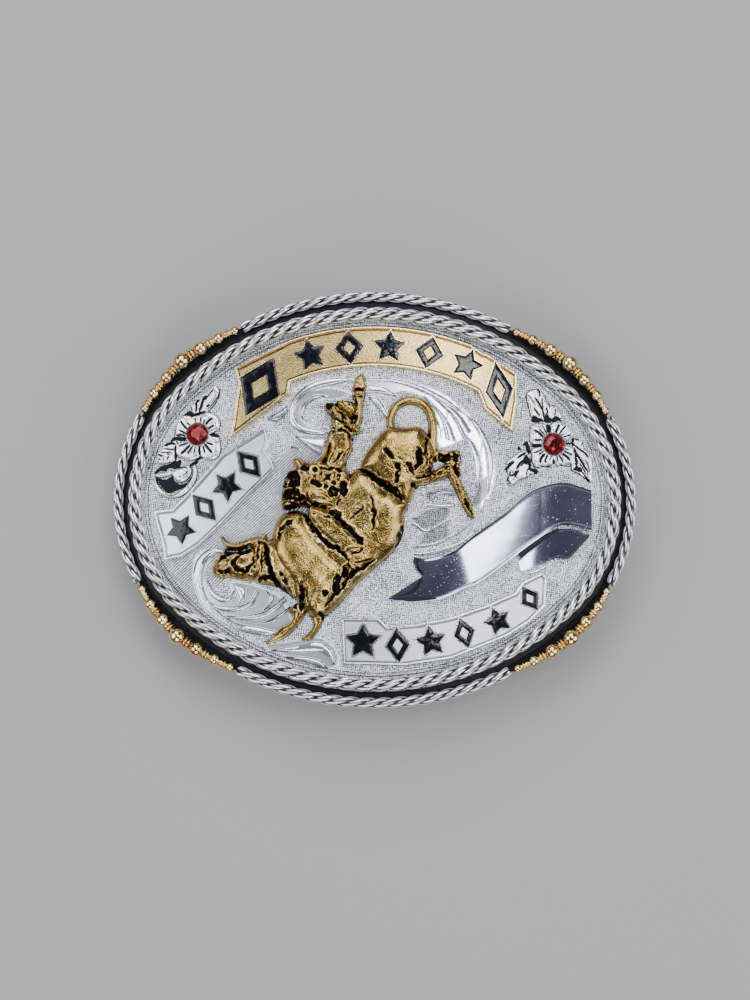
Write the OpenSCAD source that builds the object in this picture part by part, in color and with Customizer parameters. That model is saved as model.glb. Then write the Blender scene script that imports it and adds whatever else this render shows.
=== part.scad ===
// Oval western trophy buckle, lying face up on its belt loop and its hook post.
// Width runs along X, the top of the design is +Y and the face looks up +Z.
// The plate is bent about an axis along Y, so its two ends drop towards the belt.

/* [Plate] */
// Width over the outer rope edging
buckle_w = 108; // [106:0.5:112]
// Height over the outer rope edging
buckle_h = 85.2; // [84.4:0.2:88]
// Distance from the middle to the centre of each end arc of the oval
end_x = 19; // [17:0.5:21]
// Radius that the face is bent to
curve_r = 220; // [190:5:300]
// Thickness of the base plate
plate_t = 2; // [1.6:0.1:2.6]
// Space that soldered overlays leave under them
seat_gap = 0.1; // [0.05:0.01:0.15]

/* [Edging] */
// Thickness of the outer rope
outer_rope_d = 2.2; // [1.8:0.1:2.4]
// Thickness of the inner rope
inner_rope_d = 2.9; // [2.2:0.1:2.9]
// Strands that cross a full loop of the outer rope
outer_strands = 92; // [80:1:100]
// Strands that cross the inner rope's loop
inner_strands = 81; // [75:3:90]
// Width of the black groove between the ropes
groove_w = 1.15; // [0.9:0.05:1.15]
// Size of the largest bead of each corner row
big_bead_d = 3.5; // [3:0.1:3.8]

/* [Relief] */
// Thickness of the banners' sheet
banner_t = 0.7; // [0.5:0.1:1]
// Height of the raised border of a banner above its sheet
banner_rim_h = 0.3; // [0.2:0.05:0.4]
// Width of that border
banner_rim_w = 0.55; // [0.4:0.05:0.7]
// Height of the black enamel ornaments above their banner
enamel_t = 0.25; // [0.15:0.05:0.4]
// Thickness of the polished ribbon
ribbon_t = 1.1; // [0.8:0.1:1.4]
// Thickness of the flowers
flower_t = 1; // [0.7:0.1:1.3]
// Radius of the red stones
stone_r = 2.2; // [1.9:0.1:2.4]
// Share of the full relief height that the bull and rider have
relief = 1; // [0.8:0.05:1.15]

/* [Back fittings] */
// Width of belt that the loop takes
belt_w = 40; // [36:1:42]
// Space between the loop's bar and the plate for the strap
belt_gap = 7; // [6:0.5:9]
// Thickness of the loop's wire
wire_d = 3; // [2.5:0.1:3.5]
// Distance of the loop's bar from the middle
loop_x = 33; // [31:0.5:35]
// Distance of the hook post from the middle
hook_x = 27; // [24:0.5:30]
// Thickness of the hook post
hook_d = 3.6; // [3:0.1:4.2]

/* [Hidden] */

silver = "gainsboro";
bright_silver = "whitesmoke";
gold = "goldenrod";
enamel_black = "black";

// The oval is four arcs: one round each end, one along the top and one along the bottom.
half_w = buckle_w / 2;
half_h = buckle_h / 2;
end_over_side = half_w - half_h;
side_y = end_over_side * (2 * end_x - end_over_side) / (2 * (end_x - end_over_side));
end_r = half_w - end_x;
side_r = half_h + side_y;
corner_a = atan2(side_y, end_x);

// Distances in from the outline of the whole buckle.
plate_inset = 0.5;
outer_rope_inset = outer_rope_d / 2;
inner_rope_inset = outer_rope_d + groove_w + inner_rope_d / 2;
border_inset = inner_rope_inset + inner_rope_d / 2 + 0.2;
border_w = 0.5;
border_h = 0.3;

// Heights: the bar of the belt loop and the tip of the hook post touch Z = 0.
back_at_loop = wire_d + belt_gap;
back_r = curve_r - plate_t;
axis_z = back_at_loop - sqrt(back_r * back_r - loop_x * loop_x);
curve_fn = 360;
reach = 60;

function face_z(x) = axis_z + sqrt(curve_r * curve_r - x * x);
function back_z(x) = axis_z + sqrt(back_r * back_r - x * x);
function face_tilt(x) = asin(x / curve_r);
function face_up(x) = [x / curve_r, 0, cos(face_tilt(x))];
function on_face(x, y, h) = [x, y, face_z(x)] + h * face_up(x);

// Point of the oval where the outward direction has the angle a.
function at_end(a) = abs(sin(a)) * end_x < abs(cos(a)) * side_y;
function oval_point(a, inset) =
    at_end(a)
        ? [sign(cos(a)) * end_x, 0] + (end_r - inset) * [cos(a), sin(a)]
        : [0, -sign(sin(a)) * side_y] + (side_r - inset) * [cos(a), sin(a)];
function oval_outline(inset) = [for (a = [0 : 3 : 357]) oval_point(a, inset)];

// Length of a quarter of the oval, and the direction reached after a length along it.
function end_length(inset) = (end_r - inset) * corner_a * PI / 180;
function side_length(inset) = (side_r - inset) * (90 - corner_a) * PI / 180;
function quarter_length(inset) = end_length(inset) + side_length(inset);
function turn_in_quarter(s, inset) =
    s < end_length(inset)
        ? s / (end_r - inset) * 180 / PI
        : corner_a + (s - end_length(inset)) / (side_r - inset) * 180 / PI;
function direction_after(s, inset) =
    let (quarter = quarter_length(inset), n = floor(s / quarter), rest = s - n * quarter)
    n % 2 == 0
        ? n * 90 + turn_in_quarter(rest, inset)
        : (n + 1) * 90 - turn_in_quarter(quarter - rest, inset);
function length_to_turn(a, inset) =
    a < corner_a
        ? a * PI / 180 * (end_r - inset)
        : end_length(inset) + (a - corner_a) * PI / 180 * (side_r - inset);

// A closed outline moved inwards by d; its points run anticlockwise.
function unit(v) = v / norm(v);
function left_of(v) = [-v[1], v[0]];
function inset_outline(points, d) =
    let (count = len(points))
    [
        for (i = [0 : count - 1])
            let (
                before = left_of(unit(points[i] - points[(i + count - 1) % count])),
                after = left_of(unit(points[(i + 1) % count] - points[i]))
            )
            points[i] + d * (before + after) / (1 + before * after)
    ];

function arc(centre, r, from, to, steps) =
    [for (i = [0 : steps]) centre + r * [cos(from + (to - from) * i / steps), sin(from + (to - from) * i / steps)]];

// Slab between two heights above the face, bent as the face is.
module bent_layer(low, high) {
    translate([0, 0, axis_z])
        rotate([90, 0, 0])
            difference() {
                cylinder(r = curve_r + high, h = 2 * reach, center = true, $fn = curve_fn);
                cylinder(r = curve_r + low, h = 2 * reach + 2, center = true, $fn = curve_fn);
            }
}

// Outline raised from the face, between two heights.
module raised(low, high) {
    intersection() {
        linear_extrude(height = 2 * reach) children();
        bent_layer(low, high);
    }
}

module stand_on_face(x, y, h) {
    translate(on_face(x, y, h))
        rotate([0, face_tilt(x), 0])
            children();
}

module rod(from, to, r) {
    along = to - from;
    translate(from)
        rotate([0, acos(along[2] / norm(along)), atan2(along[1], along[0])])
            cylinder(r = r, h = norm(along), $fn = 24);
}

// Base plate: the bent oval with a fine border line and low scrolls beside the bull.

// Scrolls: middle x, middle y, first radius, last radius, first angle, last angle, width
scrolls = [
    [-14.3, 17.3, 1.1, 3.2, -60, 390, 0.8],
    [-30.2, -17.6, 2, 2.8, 205, 340, 0.8],
    [-30.2, -17.6, 4.4, 5.8, 190, 330, 1],
    [-24, -15, 12.2, 12.6, 186, 262, 0.9],
    [10.5, 6, 12.4, 14.2, 60, -8, 1.2],
    [10.5, 6, 9.8, 10.8, 55, 12, 0.9]
];
scroll_h = 0.25;

function scroll_side(row, offset, steps) =
    [
        for (i = [0 : steps])
            let (
                part = i / steps,
                a = row[4] + (row[5] - row[4]) * part,
                taper = sin(180 * min(1, 0.12 + part * 0.8))
            )
            [row[0], row[1]] + (row[2] + (row[3] - row[2]) * part + offset * taper) * [cos(a), sin(a)]
    ];
function reversed(points) = [for (i = [len(points) - 1 : -1 : 0]) points[i]];
function scroll_outline(row) =
    concat(scroll_side(row, row[6] / 2, 24), reversed(scroll_side(row, -row[6] / 2, 24)));

module base_plate() {
    color(silver) {
        raised(-plate_t, 0) polygon(oval_outline(plate_inset));
        raised(-plate_t / 2, border_h)
            difference() {
                polygon(oval_outline(border_inset));
                polygon(oval_outline(border_inset + border_w));
            }
        for (row = scrolls) raised(-plate_t / 2, scroll_h) polygon(scroll_outline(row));
    }
}

// Black enamel that fills the groove between the two ropes.
groove_fill_h = 0.45;
enamel_gap = 0.05;

module groove_enamel() {
    color(enamel_black)
        raised(seat_gap, groove_fill_h)
            difference() {
                polygon(oval_outline(outer_rope_d + enamel_gap));
                polygon(oval_outline(outer_rope_d + groove_w - enamel_gap));
            }
}

// Ropes: three strands twisted left-handed, with two rings of points for each strand.
valley = 0.66;

function rope_ring(s, inset, r, turn) =
    let (
        a = direction_after(s, inset),
        p = oval_point(a, inset),
        up = face_up(p[0]),
        out = unit([cos(a), sin(a), 0] - (cos(a) * up[0]) * up),
        centre = on_face(p[0], p[1], r + seat_gap)
    )
    [
        for (i = [0 : 5])
            centre + (i % 2 == 0 ? r : r * valley) * (cos(60 * i + turn) * out + sin(60 * i + turn) * up)
    ];

// Triangles between rings of points, round a closed loop or with an end cap at each end
function closed_rings(rings, sides, last) =
    [
        for (k = [0 : last], i = [0 : sides - 1])
            let (
                a = sides * k + i,
                b = sides * k + (i + 1) % sides,
                c = (a + sides) % (sides * rings),
                d = (b + sides) % (sides * rings)
            )
            each [[a, b, c], [b, d, c]]
    ];
function capped_rings(rings, sides) =
    concat(
        closed_rings(rings, sides, rings - 2),
        [[for (i = [sides - 1 : -1 : 0]) i]],
        [[for (i = [0 : sides - 1]) sides * (rings - 1) + i]]
    );

module rope_piece(from, length, inset, d, strands) {
    pitch = 4 * quarter_length(inset) / strands;
    rings = round(length / pitch * 2) + 1;
    points = [for (k = [0 : rings - 1]) each rope_ring(from + length * k / (rings - 1), inset, d / 2, 60 * k)];
    polyhedron(points, capped_rings(rings, 6));
}

module inner_rope() {
    rings = 2 * inner_strands;
    loop = 4 * quarter_length(inner_rope_inset);
    color(bright_silver)
        polyhedron(
            [for (k = [0 : rings - 1]) each rope_ring(loop * k / rings, inner_rope_inset, inner_rope_d / 2, 60 * k)],
            closed_rings(rings, 6, rings - 1)
        );
}

// Bead rows: sizes from the top of the design down, as shares of the largest bead.
bead_shares = [0.54, 0.69, 0.86, 1, 0.8, 0.69, 0.54];
bead_gap = 1.35;
bead_seat = 1.75;
bead_middle_a = 50.5;
big_bead = 3;
// Rings of points along a bead: place and width as shares of its radius
bead_rings = [[-0.92, 0.39], [-0.6, 0.8], [0, 1], [0.6, 0.8], [0.92, 0.39]];
bead_sides = 10;
// The disc between two beads: its radius as a share of the smaller bead's width, and its thickness
disc_share = 0.38;
disc_t = 0.8;

function bead_d(i) = big_bead_d * bead_shares[i];
function bead_step(i) = (bead_d(i) + bead_d(i + 1)) / 2 + bead_gap;
function steps_between(i, j) = i >= j ? 0 : bead_step(i) + steps_between(i + 1, j);
function bead_place(i) =
    i < big_bead ? steps_between(i, big_bead) : -steps_between(big_bead, i);
function bead_length(i) = length_to_turn(bead_middle_a, bead_seat) + bead_place(i);
function bead_centre(i) =
    let (p = oval_point(direction_after(bead_length(i), bead_seat), bead_seat - bead_d(i) / 2))
    on_face(p[0], p[1], bead_d(i) / 2 + seat_gap);

function bead_way(i) =
    unit(bead_centre(min(i + 1, len(bead_shares) - 1)) - bead_centre(max(i - 1, 0)));
function ring_across(centre, way, r) =
    let (side = unit(cross(way, face_up(centre[0]))), up = cross(side, way))
    [for (i = [0 : bead_sides - 1]) let (a = 360 * i / bead_sides) centre + r * (cos(a) * side + sin(a) * up)];
function bead_points(i) =
    [
        for (row = bead_rings)
            each ring_across(bead_centre(i) + row[0] * bead_d(i) / 2 * bead_way(i), bead_way(i), row[1] * bead_d(i) / 2)
    ];
function disc_points(i) =
    let (
        here = bead_centre(i),
        next = bead_centre(i + 1),
        way = unit(next - here),
        middle = (here + way * bead_d(i) / 2 + next - way * bead_d(i + 1) / 2) / 2
    )
    [
        for (side = [-1, 1])
            each ring_across(middle + side * disc_t / 2 * way, way, disc_share * min(bead_d(i), bead_d(i + 1)))
    ];

// The row of the upper right corner; the others are its mirror images.
module bead_row() {
    last = len(bead_shares) - 1;
    points = concat([for (i = [0 : last - 1]) each concat(bead_points(i), disc_points(i))], bead_points(last));
    polyhedron(points, capped_rings(len(points) / bead_sides, bead_sides));
}

module beads_upper_right() { color(gold) bead_row(); }
module beads_upper_left() { color(gold) mirror([1, 0, 0]) bead_row(); }
module beads_lower_left() { color(gold) mirror([1, 0, 0]) mirror([0, 1, 0]) bead_row(); }
module beads_lower_right() { color(gold) mirror([0, 1, 0]) bead_row(); }

// The outer rope runs only between the bead rows.
rope_end_gap = 0.5;
upper_bead_end_a = direction_after(bead_length(0) + bead_d(0) / 2 + rope_end_gap, bead_seat);
lower_bead_end_a = direction_after(bead_length(6) - bead_d(6) / 2 - rope_end_gap, bead_seat);
upper_bead_end = length_to_turn(upper_bead_end_a, outer_rope_inset);
lower_bead_end = length_to_turn(lower_bead_end_a, outer_rope_inset);

module outer_rope_side(quarters) {
    from = quarters * quarter_length(outer_rope_inset) + upper_bead_end;
    rope_piece(
        from, 2 * (quarter_length(outer_rope_inset) - upper_bead_end),
        outer_rope_inset, outer_rope_d, outer_strands
    );
}

module outer_rope_end(quarters) {
    from = quarters * quarter_length(outer_rope_inset) - lower_bead_end;
    rope_piece(from, 2 * lower_bead_end, outer_rope_inset, outer_rope_d, outer_strands);
}

module outer_rope_top() { color(bright_silver) outer_rope_side(0); }
module outer_rope_bottom() { color(bright_silver) outer_rope_side(2); }
module outer_rope_left() { color(bright_silver) outer_rope_end(2); }
module outer_rope_right() { color(bright_silver) outer_rope_end(4); }

// Banners: a sheet with a raised border, and black enamel ornaments on it.
module banner(points) {
    raised(seat_gap, seat_gap + banner_t) polygon(points);
    raised(seat_gap, seat_gap + banner_t + banner_rim_h)
        difference() {
            polygon(points);
            polygon(inset_outline(points, banner_rim_w));
        }
}

module enamel() {
    low = seat_gap + banner_t + enamel_gap;
    color(enamel_black) raised(low, low + enamel_t) children();
}

module star(x, y, r, turn) {
    translate([x, y])
        rotate(turn)
            polygon([for (i = [0 : 9]) (i % 2 == 0 ? r : r * 0.52) * [cos(36 * i + 90), sin(36 * i + 90)]]);
}

module lozenge(x, y, width, height, turn) {
    translate([x, y])
        rotate(turn)
            polygon([[-width / 2, 0], [0, -height / 2], [width / 2, 0], [0, height / 2]]);
}

module open_lozenge(x, y, width, height, turn) {
    difference() {
        lozenge(x, y, width, height, turn);
        lozenge(x, y, width * 0.42, height * 0.42, turn);
    }
}

// The top banner's middle is a ring segment; each end is a larger slanted panel.
banner_middle = [0, -20.2];
banner_outer_r = 55.5;
banner_inner_r = 47.2;
top_left_panel = [[-19.2, 31.6], [-28.9, 26.9], [-28.1, 23.6], [-29.6, 12.3], [-17.7, 21.3]];
top_right_panel = [[21.8, 20.2], [22.4, 18.4], [28, 13.9], [29.1, 20.4], [29.1, 26], [23.1, 29.8], [22, 30.1], [19.5, 31.8]];
top_banner_points = concat(
    top_left_panel,
    arc(banner_middle, banner_inner_r, 111.6, 63.6, 14),
    top_right_panel,
    arc(banner_middle, banner_outer_r, 72, 108.5, 12)
);

function banner_middle_point(a) =
    banner_middle + (banner_outer_r + banner_inner_r) / 2 * [cos(a), sin(a)];

module top_banner() { color(gold) banner(top_banner_points); }

// Ornaments of the middle: angle along the ring, then 1 for a star or 0 for a lozenge
top_ornaments = [[105, 1], [96, 0], [86.8, 1], [77.6, 0], [68.6, 1]];

module top_banner_enamel() {
    enamel() {
        open_lozenge(-23.6, 22.9, 8.8, 13, -25);
        open_lozenge(25.4, 22.4, 5.6, 11.5, 8);
        for (row = top_ornaments) {
            p = banner_middle_point(row[0]);
            if (row[1] == 1) star(p[0], p[1], 3.3, row[0] - 90);
            else open_lozenge(p[0], p[1], 5.8, 6.6, row[0] - 90);
        }
    }
}

left_banner_points = [
    [-45.5, -2.6], [-44.4, -6.2], [-43.3, -9.7], [-43, -12.8], [-39.2, -12], [-35.6, -9.7], [-31.4, -5.7],
    [-25.4, 0.7], [-20.2, 5.8], [-20.9, 7.8], [-22.3, 9.6], [-21.7, 11.7], [-22.2, 14.2], [-23, 14.2],
    [-31.2, 9.1], [-35.4, 4.3], [-38.6, 0.7], [-41.5, -2.2]
];
left_banner_slope = 42;

module left_banner() { color(silver) banner(left_banner_points); }

// Ornaments of the slanted banner: x, y, then 1 for a star or 0 for a lozenge
left_ornaments = [[-39.6, -6.4, 1], [-34.8, -2, 0], [-30.2, 2.4, 1], [-25.7, 6.9, 0]];

module left_banner_enamel() {
    enamel()
        for (row = left_ornaments) {
            if (row[2] == 1) star(row[0], row[1], 3.2, left_banner_slope);
            else open_lozenge(row[0], row[1], 4.6, 7.2, left_banner_slope);
        }
}

lower_banner_points = [
    [-6.7, -24.3], [-6.3, -33.9], [6.4, -34.1], [15.7, -32.6], [26.9, -28.1], [31.6, -25.1], [34.8, -21.8],
    [35.1, -16.3], [34.3, -14.9], [30, -17], [28.5, -19.2], [22.8, -21.7], [15.7, -24.2], [8.6, -25.6],
    [2.6, -26.1], [0.7, -24.3]
];

module lower_banner() { color(silver) banner(lower_banner_points); }

// Ornaments of the lower banner: x, y, size, slope, then 1 for a star or 0 for a lozenge
lower_ornaments = [
    [-2.2, -29.2, 3.6, 0, 1], [4.8, -29.9, 3.1, 5, 0], [11.5, -29.1, 3.2, 10, 1],
    [18.2, -27.4, 2.8, 17, 0], [25, -24.9, 2.9, 24, 1], [31.6, -20.3, 2.5, 34, 0]
];

module lower_banner_enamel() {
    enamel()
        for (row = lower_ornaments) {
            if (row[4] == 1) star(row[0], row[1], row[2], row[3]);
            else open_lozenge(row[0], row[1], row[2] * 1.55, row[2] * 2.2, row[3]);
        }
}

// Ribbon: a long wave, a swallow-tailed left end and a tail folded under its right end.
ribbon_upper = [
    [44.5, 2.1], [39.2, 3.5], [34.8, 2.9], [30.9, 1], [26.5, -2.9], [20.2, -7.5], [16.1, -10.8], [11.2, -12.3], [8, -12.1]
];
ribbon_left_end = [[7.8, -12.9], [8.4, -14.5], [9.8, -15.9], [8.6, -16.7], [2.7, -20.6]];
ribbon_lower = [
    [3.7, -21], [12.2, -20.8], [16.7, -19.1], [21, -17.1], [25.1, -14.2], [29.4, -10.9], [33.8, -7.7],
    [37.3, -5.5], [40.5, -5.2], [44.5, -6.1]
];
folded_tail = [
    [44.3, -5.4], [44.2, -7.4], [39.8, -12], [37.7, -11.8], [34.4, -13.1], [29.8, -14.9], [29, -13.7],
    [29.4, -12], [32.6, -8], [37.3, -4.8]
];

module ribbon() {
    color(bright_silver) {
        raised(seat_gap, seat_gap + ribbon_t) polygon(concat(ribbon_upper, ribbon_left_end, ribbon_lower));
        raised(seat_gap, seat_gap + ribbon_t * 0.55) polygon(folded_tail);
    }
}

// Flowers: petals and leaves are lenses where two equal circles cross.
module leaf(x, y, length, width, turn) {
    r = (length * length / 4 + width * width / 4) / width;
    translate([x, y])
        rotate(turn)
            translate([length / 2, 0])
                intersection() {
                    translate([0, r - width / 2]) circle(r = r, $fn = 48);
                    translate([0, width / 2 - r]) circle(r = r, $fn = 48);
                }
}

// Leaves of a flower: x, y of the foot, length, width, direction
left_leaves = [
    [-37, 16, 9.5, 3, 62], [-37.5, 16, 4.6, 2.4, 92], [-38.5, 11, 7.3, 3, 205], [-39, 10, 7, 2.6, 228]
];
right_leaves = [
    [35.6, 14.5, 8.2, 2.4, 105], [36.6, 14.5, 5, 2.6, 70], [34.5, 11, 10.4, 3.4, 222],
    [34.5, 9.6, 9.6, 2.6, 240], [38.5, 11, 9.4, 3, 308]
];
left_stone_x = -36.5;
left_stone_y = 13.2;
right_stone_x = 36.7;
right_stone_y = 11.5;
petals = 10;
petal_reach = 4.8;
petal_w = 2.6;
leaf_share = 0.7;
// Width of the stone's collar, its height as a share of the petals', and the stone's side gap
collar_w = 0.6;
collar_share = 1.2;
stone_gap = 0.08;

module flower(x, y, leaves) {
    difference() {
        union() {
            raised(seat_gap, seat_gap + flower_t)
                for (i = [0 : petals - 1]) leaf(x, y, petal_reach, petal_w, 360 * i / petals + 12);
            raised(seat_gap, seat_gap + flower_t * leaf_share)
                for (row = leaves) leaf(row[0], row[1], row[2], row[3], row[4]);
            raised(seat_gap, seat_gap + flower_t * collar_share)
                translate([x, y]) circle(r = stone_r + collar_w, $fn = 48);
            children();
        }
        stand_on_face(x, y, -1) cylinder(r = stone_r + stone_gap, h = 6, $fn = 48);
    }
}

// The left flower ends in a curl below its leaves.
curl_x = -41.7;
curl_y = 4.2;
curl_r = 3.9;
curl_hollow_r = 2.6;
curl_bulb_r = 1.5;

module left_flower() {
    color(silver)
        flower(left_stone_x, left_stone_y, left_leaves) {
            raised(seat_gap, seat_gap + flower_t * 0.9)
                difference() {
                    translate([curl_x, curl_y]) circle(r = curl_r, $fn = 48);
                    translate([curl_x - 0.2, curl_y + 1.1]) circle(r = curl_hollow_r, $fn = 48);
                }
            raised(seat_gap, seat_gap + flower_t)
                translate([curl_x + 1.8, curl_y + 1.6]) circle(r = curl_bulb_r, $fn = 48);
        }
}

module right_flower() {
    color(silver) flower(right_stone_x, right_stone_y, right_leaves);
}

// Stones: a table, eight main facets with eight between them, and a girdle of sixteen sides.
girdle_h = 1.15;
crown_h = 0.95;
table_share = 0.56;
main_facet_share = 0.84;

module stone(x, y) {
    color("crimson")
        stand_on_face(x, y, seat_gap)
            hull() {
                cylinder(r = stone_r, h = girdle_h, $fn = 16);
                rotate(22.5) cylinder(r = stone_r * main_facet_share, h = girdle_h + crown_h * 0.55, $fn = 8);
                cylinder(r = stone_r * table_share, h = girdle_h + crown_h, $fn = 8);
            }
}

module left_stone() { stone(left_stone_x, left_stone_y); }
module right_stone() { stone(right_stone_x, right_stone_y); }

// Bull and rider, cast in one. Each row is a limb or a mass from one round to another:
// x, y, radius and height of the first round, then the same of the second.
bull_masses = [
    [-15, -9.5, 6.6, 3.6, -11.5, -12.5, 6.2, 3.6],
    [-11.5, -12.5, 6.2, 3.4, -11.5, -18.5, 3.4, 2.8],
    [-11.5, -18.5, 3.4, 2.6, -12.8, -22, 1.8, 1.9],
    [-17.4, -5.2, 3.2, 3.2, -13, -6, 4.4, 3.4],
    [-16.5, -9.8, 5.6, 3.2, -21.3, -12.8, 3.9, 2.7],
    [-21.3, -12.8, 3.9, 2.7, -25.6, -13, 3.6, 2.7],
    [-25.6, -13, 3.6, 2.7, -31, -14.4, 2, 1.9],
    [-18.4, -14.2, 3, 2.4, -14.6, -19.4, 2.6, 2.2],
    [-11, -11, 6.4, 3.4, -2, -5.2, 7.4, 3.2],
    [-2, -5.2, 7.4, 3.2, 1.6, -0.4, 6.2, 2.9],
    [1.6, -0.4, 6.2, 2.9, 4.2, 7.8, 5.8, 3.2],
    [4.2, 7.8, 5.8, 3.2, 6.1, 11.4, 3.7, 2.9],
    [-1.5, -11.2, 3.4, 2, -8.4, -19, 2.4, 1.6]
];
bull_legs = [
    [-14.3, -19.5, 1.9, 1.9, -15.6, -24.6, 1.4, 1.5],
    [-15.6, -24.6, 1.3, 1.5, -20.9, -29.2, 0.9, 1.2],
    [-10.6, -21, 1.9, 1.8, -11.2, -26, 1.3, 1.4],
    [-11.2, -26, 1.2, 1.4, -14, -28.6, 0.9, 1.1],
    [8, 7.5, 3.3, 2.6, 9.4, 3.8, 1.9, 2.2],
    [9.4, 3.8, 1.7, 2.2, 15.2, 6.2, 1.1, 1.7],
    [15.2, 6.2, 1.1, 1.7, 18, -0.5, 0.9, 1.4],
    [18, -0.5, 0.9, 1.4, 19.6, -3.2, 0.9, 1.2],
    [9.6, 9.4, 2, 2, 16.3, 9.1, 1.1, 1.5],
    [16.3, 9.1, 1.1, 1.5, 17.6, 3.4, 0.9, 1.3]
];
bull_horns = [
    [-28, -10.6, 0.9, 2.3, -31, -8.4, 0.5, 1.8],
    [-23.6, -10, 0.9, 2.3, -22.4, -8.6, 0.6, 1.9]
];
rider_parts = [
    [-9.4, 18.4, 0.9, 2.6, -4.3, 14.6, 0.9, 2.6],
    [-6.9, 18.5, 1.5, 3, -5, 18.8, 1.5, 3],
    [-6.9, 18.5, 1.5, 3, -5.6, 15.7, 1.4, 2.8],
    [-7.2, 15.9, 1.3, 2.6, -6.8, 14.4, 1.4, 2.6],
    [-7.1, 12.1, 2.3, 3.1, -8, 7.2, 2, 3],
    [-5.4, 12.3, 1.3, 2.6, -3.8, 16.8, 1, 2.2],
    [-3.8, 16.8, 0.9, 2.2, -3, 21.6, 0.8, 1.9],
    [-3, 22.4, 1, 1.9, -3.2, 23.8, 1, 1.8],
    [-8.4, 6.6, 2.2, 3.2, -10.8, 2.6, 3.2, 3.8],
    [-14.8, 5.6, 2.3, 2.8, -10.8, 4, 2.9, 3.4],
    [-16.8, 1.4, 1.8, 2.2, -12.4, 2, 2.6, 3.4],
    [-16.9, -0.8, 1.5, 2, -12.6, -0.6, 2.4, 3],
    [-9.2, 2.2, 2.9, 4, -12, -2.2, 2, 4],
    [-12, -2.2, 1.9, 4, -4.6, -8.8, 1.4, 3.8],
    [-4.6, -8.8, 1.4, 3.8, -5.4, -11.8, 1.1, 3.4]
];
// Tail: centre of its arch, radius along it, then the radius of the tail itself
tail_x = 7.6;
tail_y = 15.1;
tail_r = 4.6;
tail_thick = 0.8;
tail_h = 1.4;

module swell(x, y, r, h, sides) {
    translate([x, y, face_z(x)])
        scale([1, 1, h * relief / r])
            sphere(r = r, $fn = sides);
}

module mass(row, sides) {
    hull() {
        swell(row[0], row[1], row[2], row[3], sides);
        swell(row[4], row[5], row[6], row[7], sides);
    }
}

module tail_step(a, b) {
    hull() {
        swell(tail_x + tail_r * cos(a), tail_y + tail_r * sin(a), tail_thick, tail_h, 8);
        swell(tail_x + tail_r * cos(b), tail_y + tail_r * sin(b), tail_thick, tail_h, 8);
    }
}

module bull_and_rider() {
    color(gold)
        intersection() {
            union() {
                for (row = bull_masses) mass(row, 20);
                for (row = bull_legs) mass(row, 10);
                for (row = bull_horns) mass(row, 8);
                for (row = rider_parts) mass(row, 12);
                for (a = [190 : -30 : 10]) tail_step(a, a - 30);
                mass([11.9, 13.5, tail_thick, tail_h, 11.8, 9, tail_thick, tail_h], 8);
            }
            bent_layer(seat_gap, 2 * reach);
        }
}

// Back fittings: a plain wire loop that takes the belt, and a plain post for a belt hole.
foot_x = 25;
foot_r = 2.6;
foot_t = 1.2;
loop_y = belt_w / 2 + 1 + wire_d / 2;

module under_plate() {
    intersection() {
        children();
        translate([0, 0, axis_z])
            rotate([90, 0, 0])
                cylinder(r = back_r - seat_gap, h = 2 * reach, center = true, $fn = curve_fn);
    }
}

module belt_loop() {
    r = wire_d / 2;
    bar_end = [-loop_x, loop_y, r];
    foot = [-foot_x, loop_y, back_z(foot_x) - foot_t / 2];
    color(silver)
        under_plate() {
            rod([-loop_x, -loop_y, r], bar_end, r);
            for (side = [0, 1])
                mirror([0, side, 0]) {
                    translate(bar_end) sphere(r = r, $fn = 24);
                    rod(bar_end, foot, r);
                    translate([-foot_x, loop_y, back_z(foot_x) - foot_t]) cylinder(r = foot_r, h = 2 * foot_t, $fn = 32);
                }
        }
}

pad_t = 1.2;

module hook_post() {
    r = hook_d / 2;
    color(silver)
        under_plate() {
            translate([hook_x, 0, r]) sphere(r = r, $fn = 32);
            translate([hook_x, 0, r]) cylinder(r = r, h = back_z(hook_x), $fn = 32);
            translate([hook_x, 0, back_z(hook_x) - pad_t]) cylinder(r = 2 * r, h = 2 * pad_t, $fn = 32);
        }
}

base_plate();
groove_enamel();
inner_rope();
outer_rope_top();
outer_rope_left();
outer_rope_bottom();
outer_rope_right();
beads_upper_right();
beads_upper_left();
beads_lower_left();
beads_lower_right();
top_banner();
top_banner_enamel();
left_banner();
left_banner_enamel();
lower_banner();
lower_banner_enamel();
ribbon();
left_flower();
right_flower();
left_stone();
right_stone();
bull_and_rider();
belt_loop();
hook_post();
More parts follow.
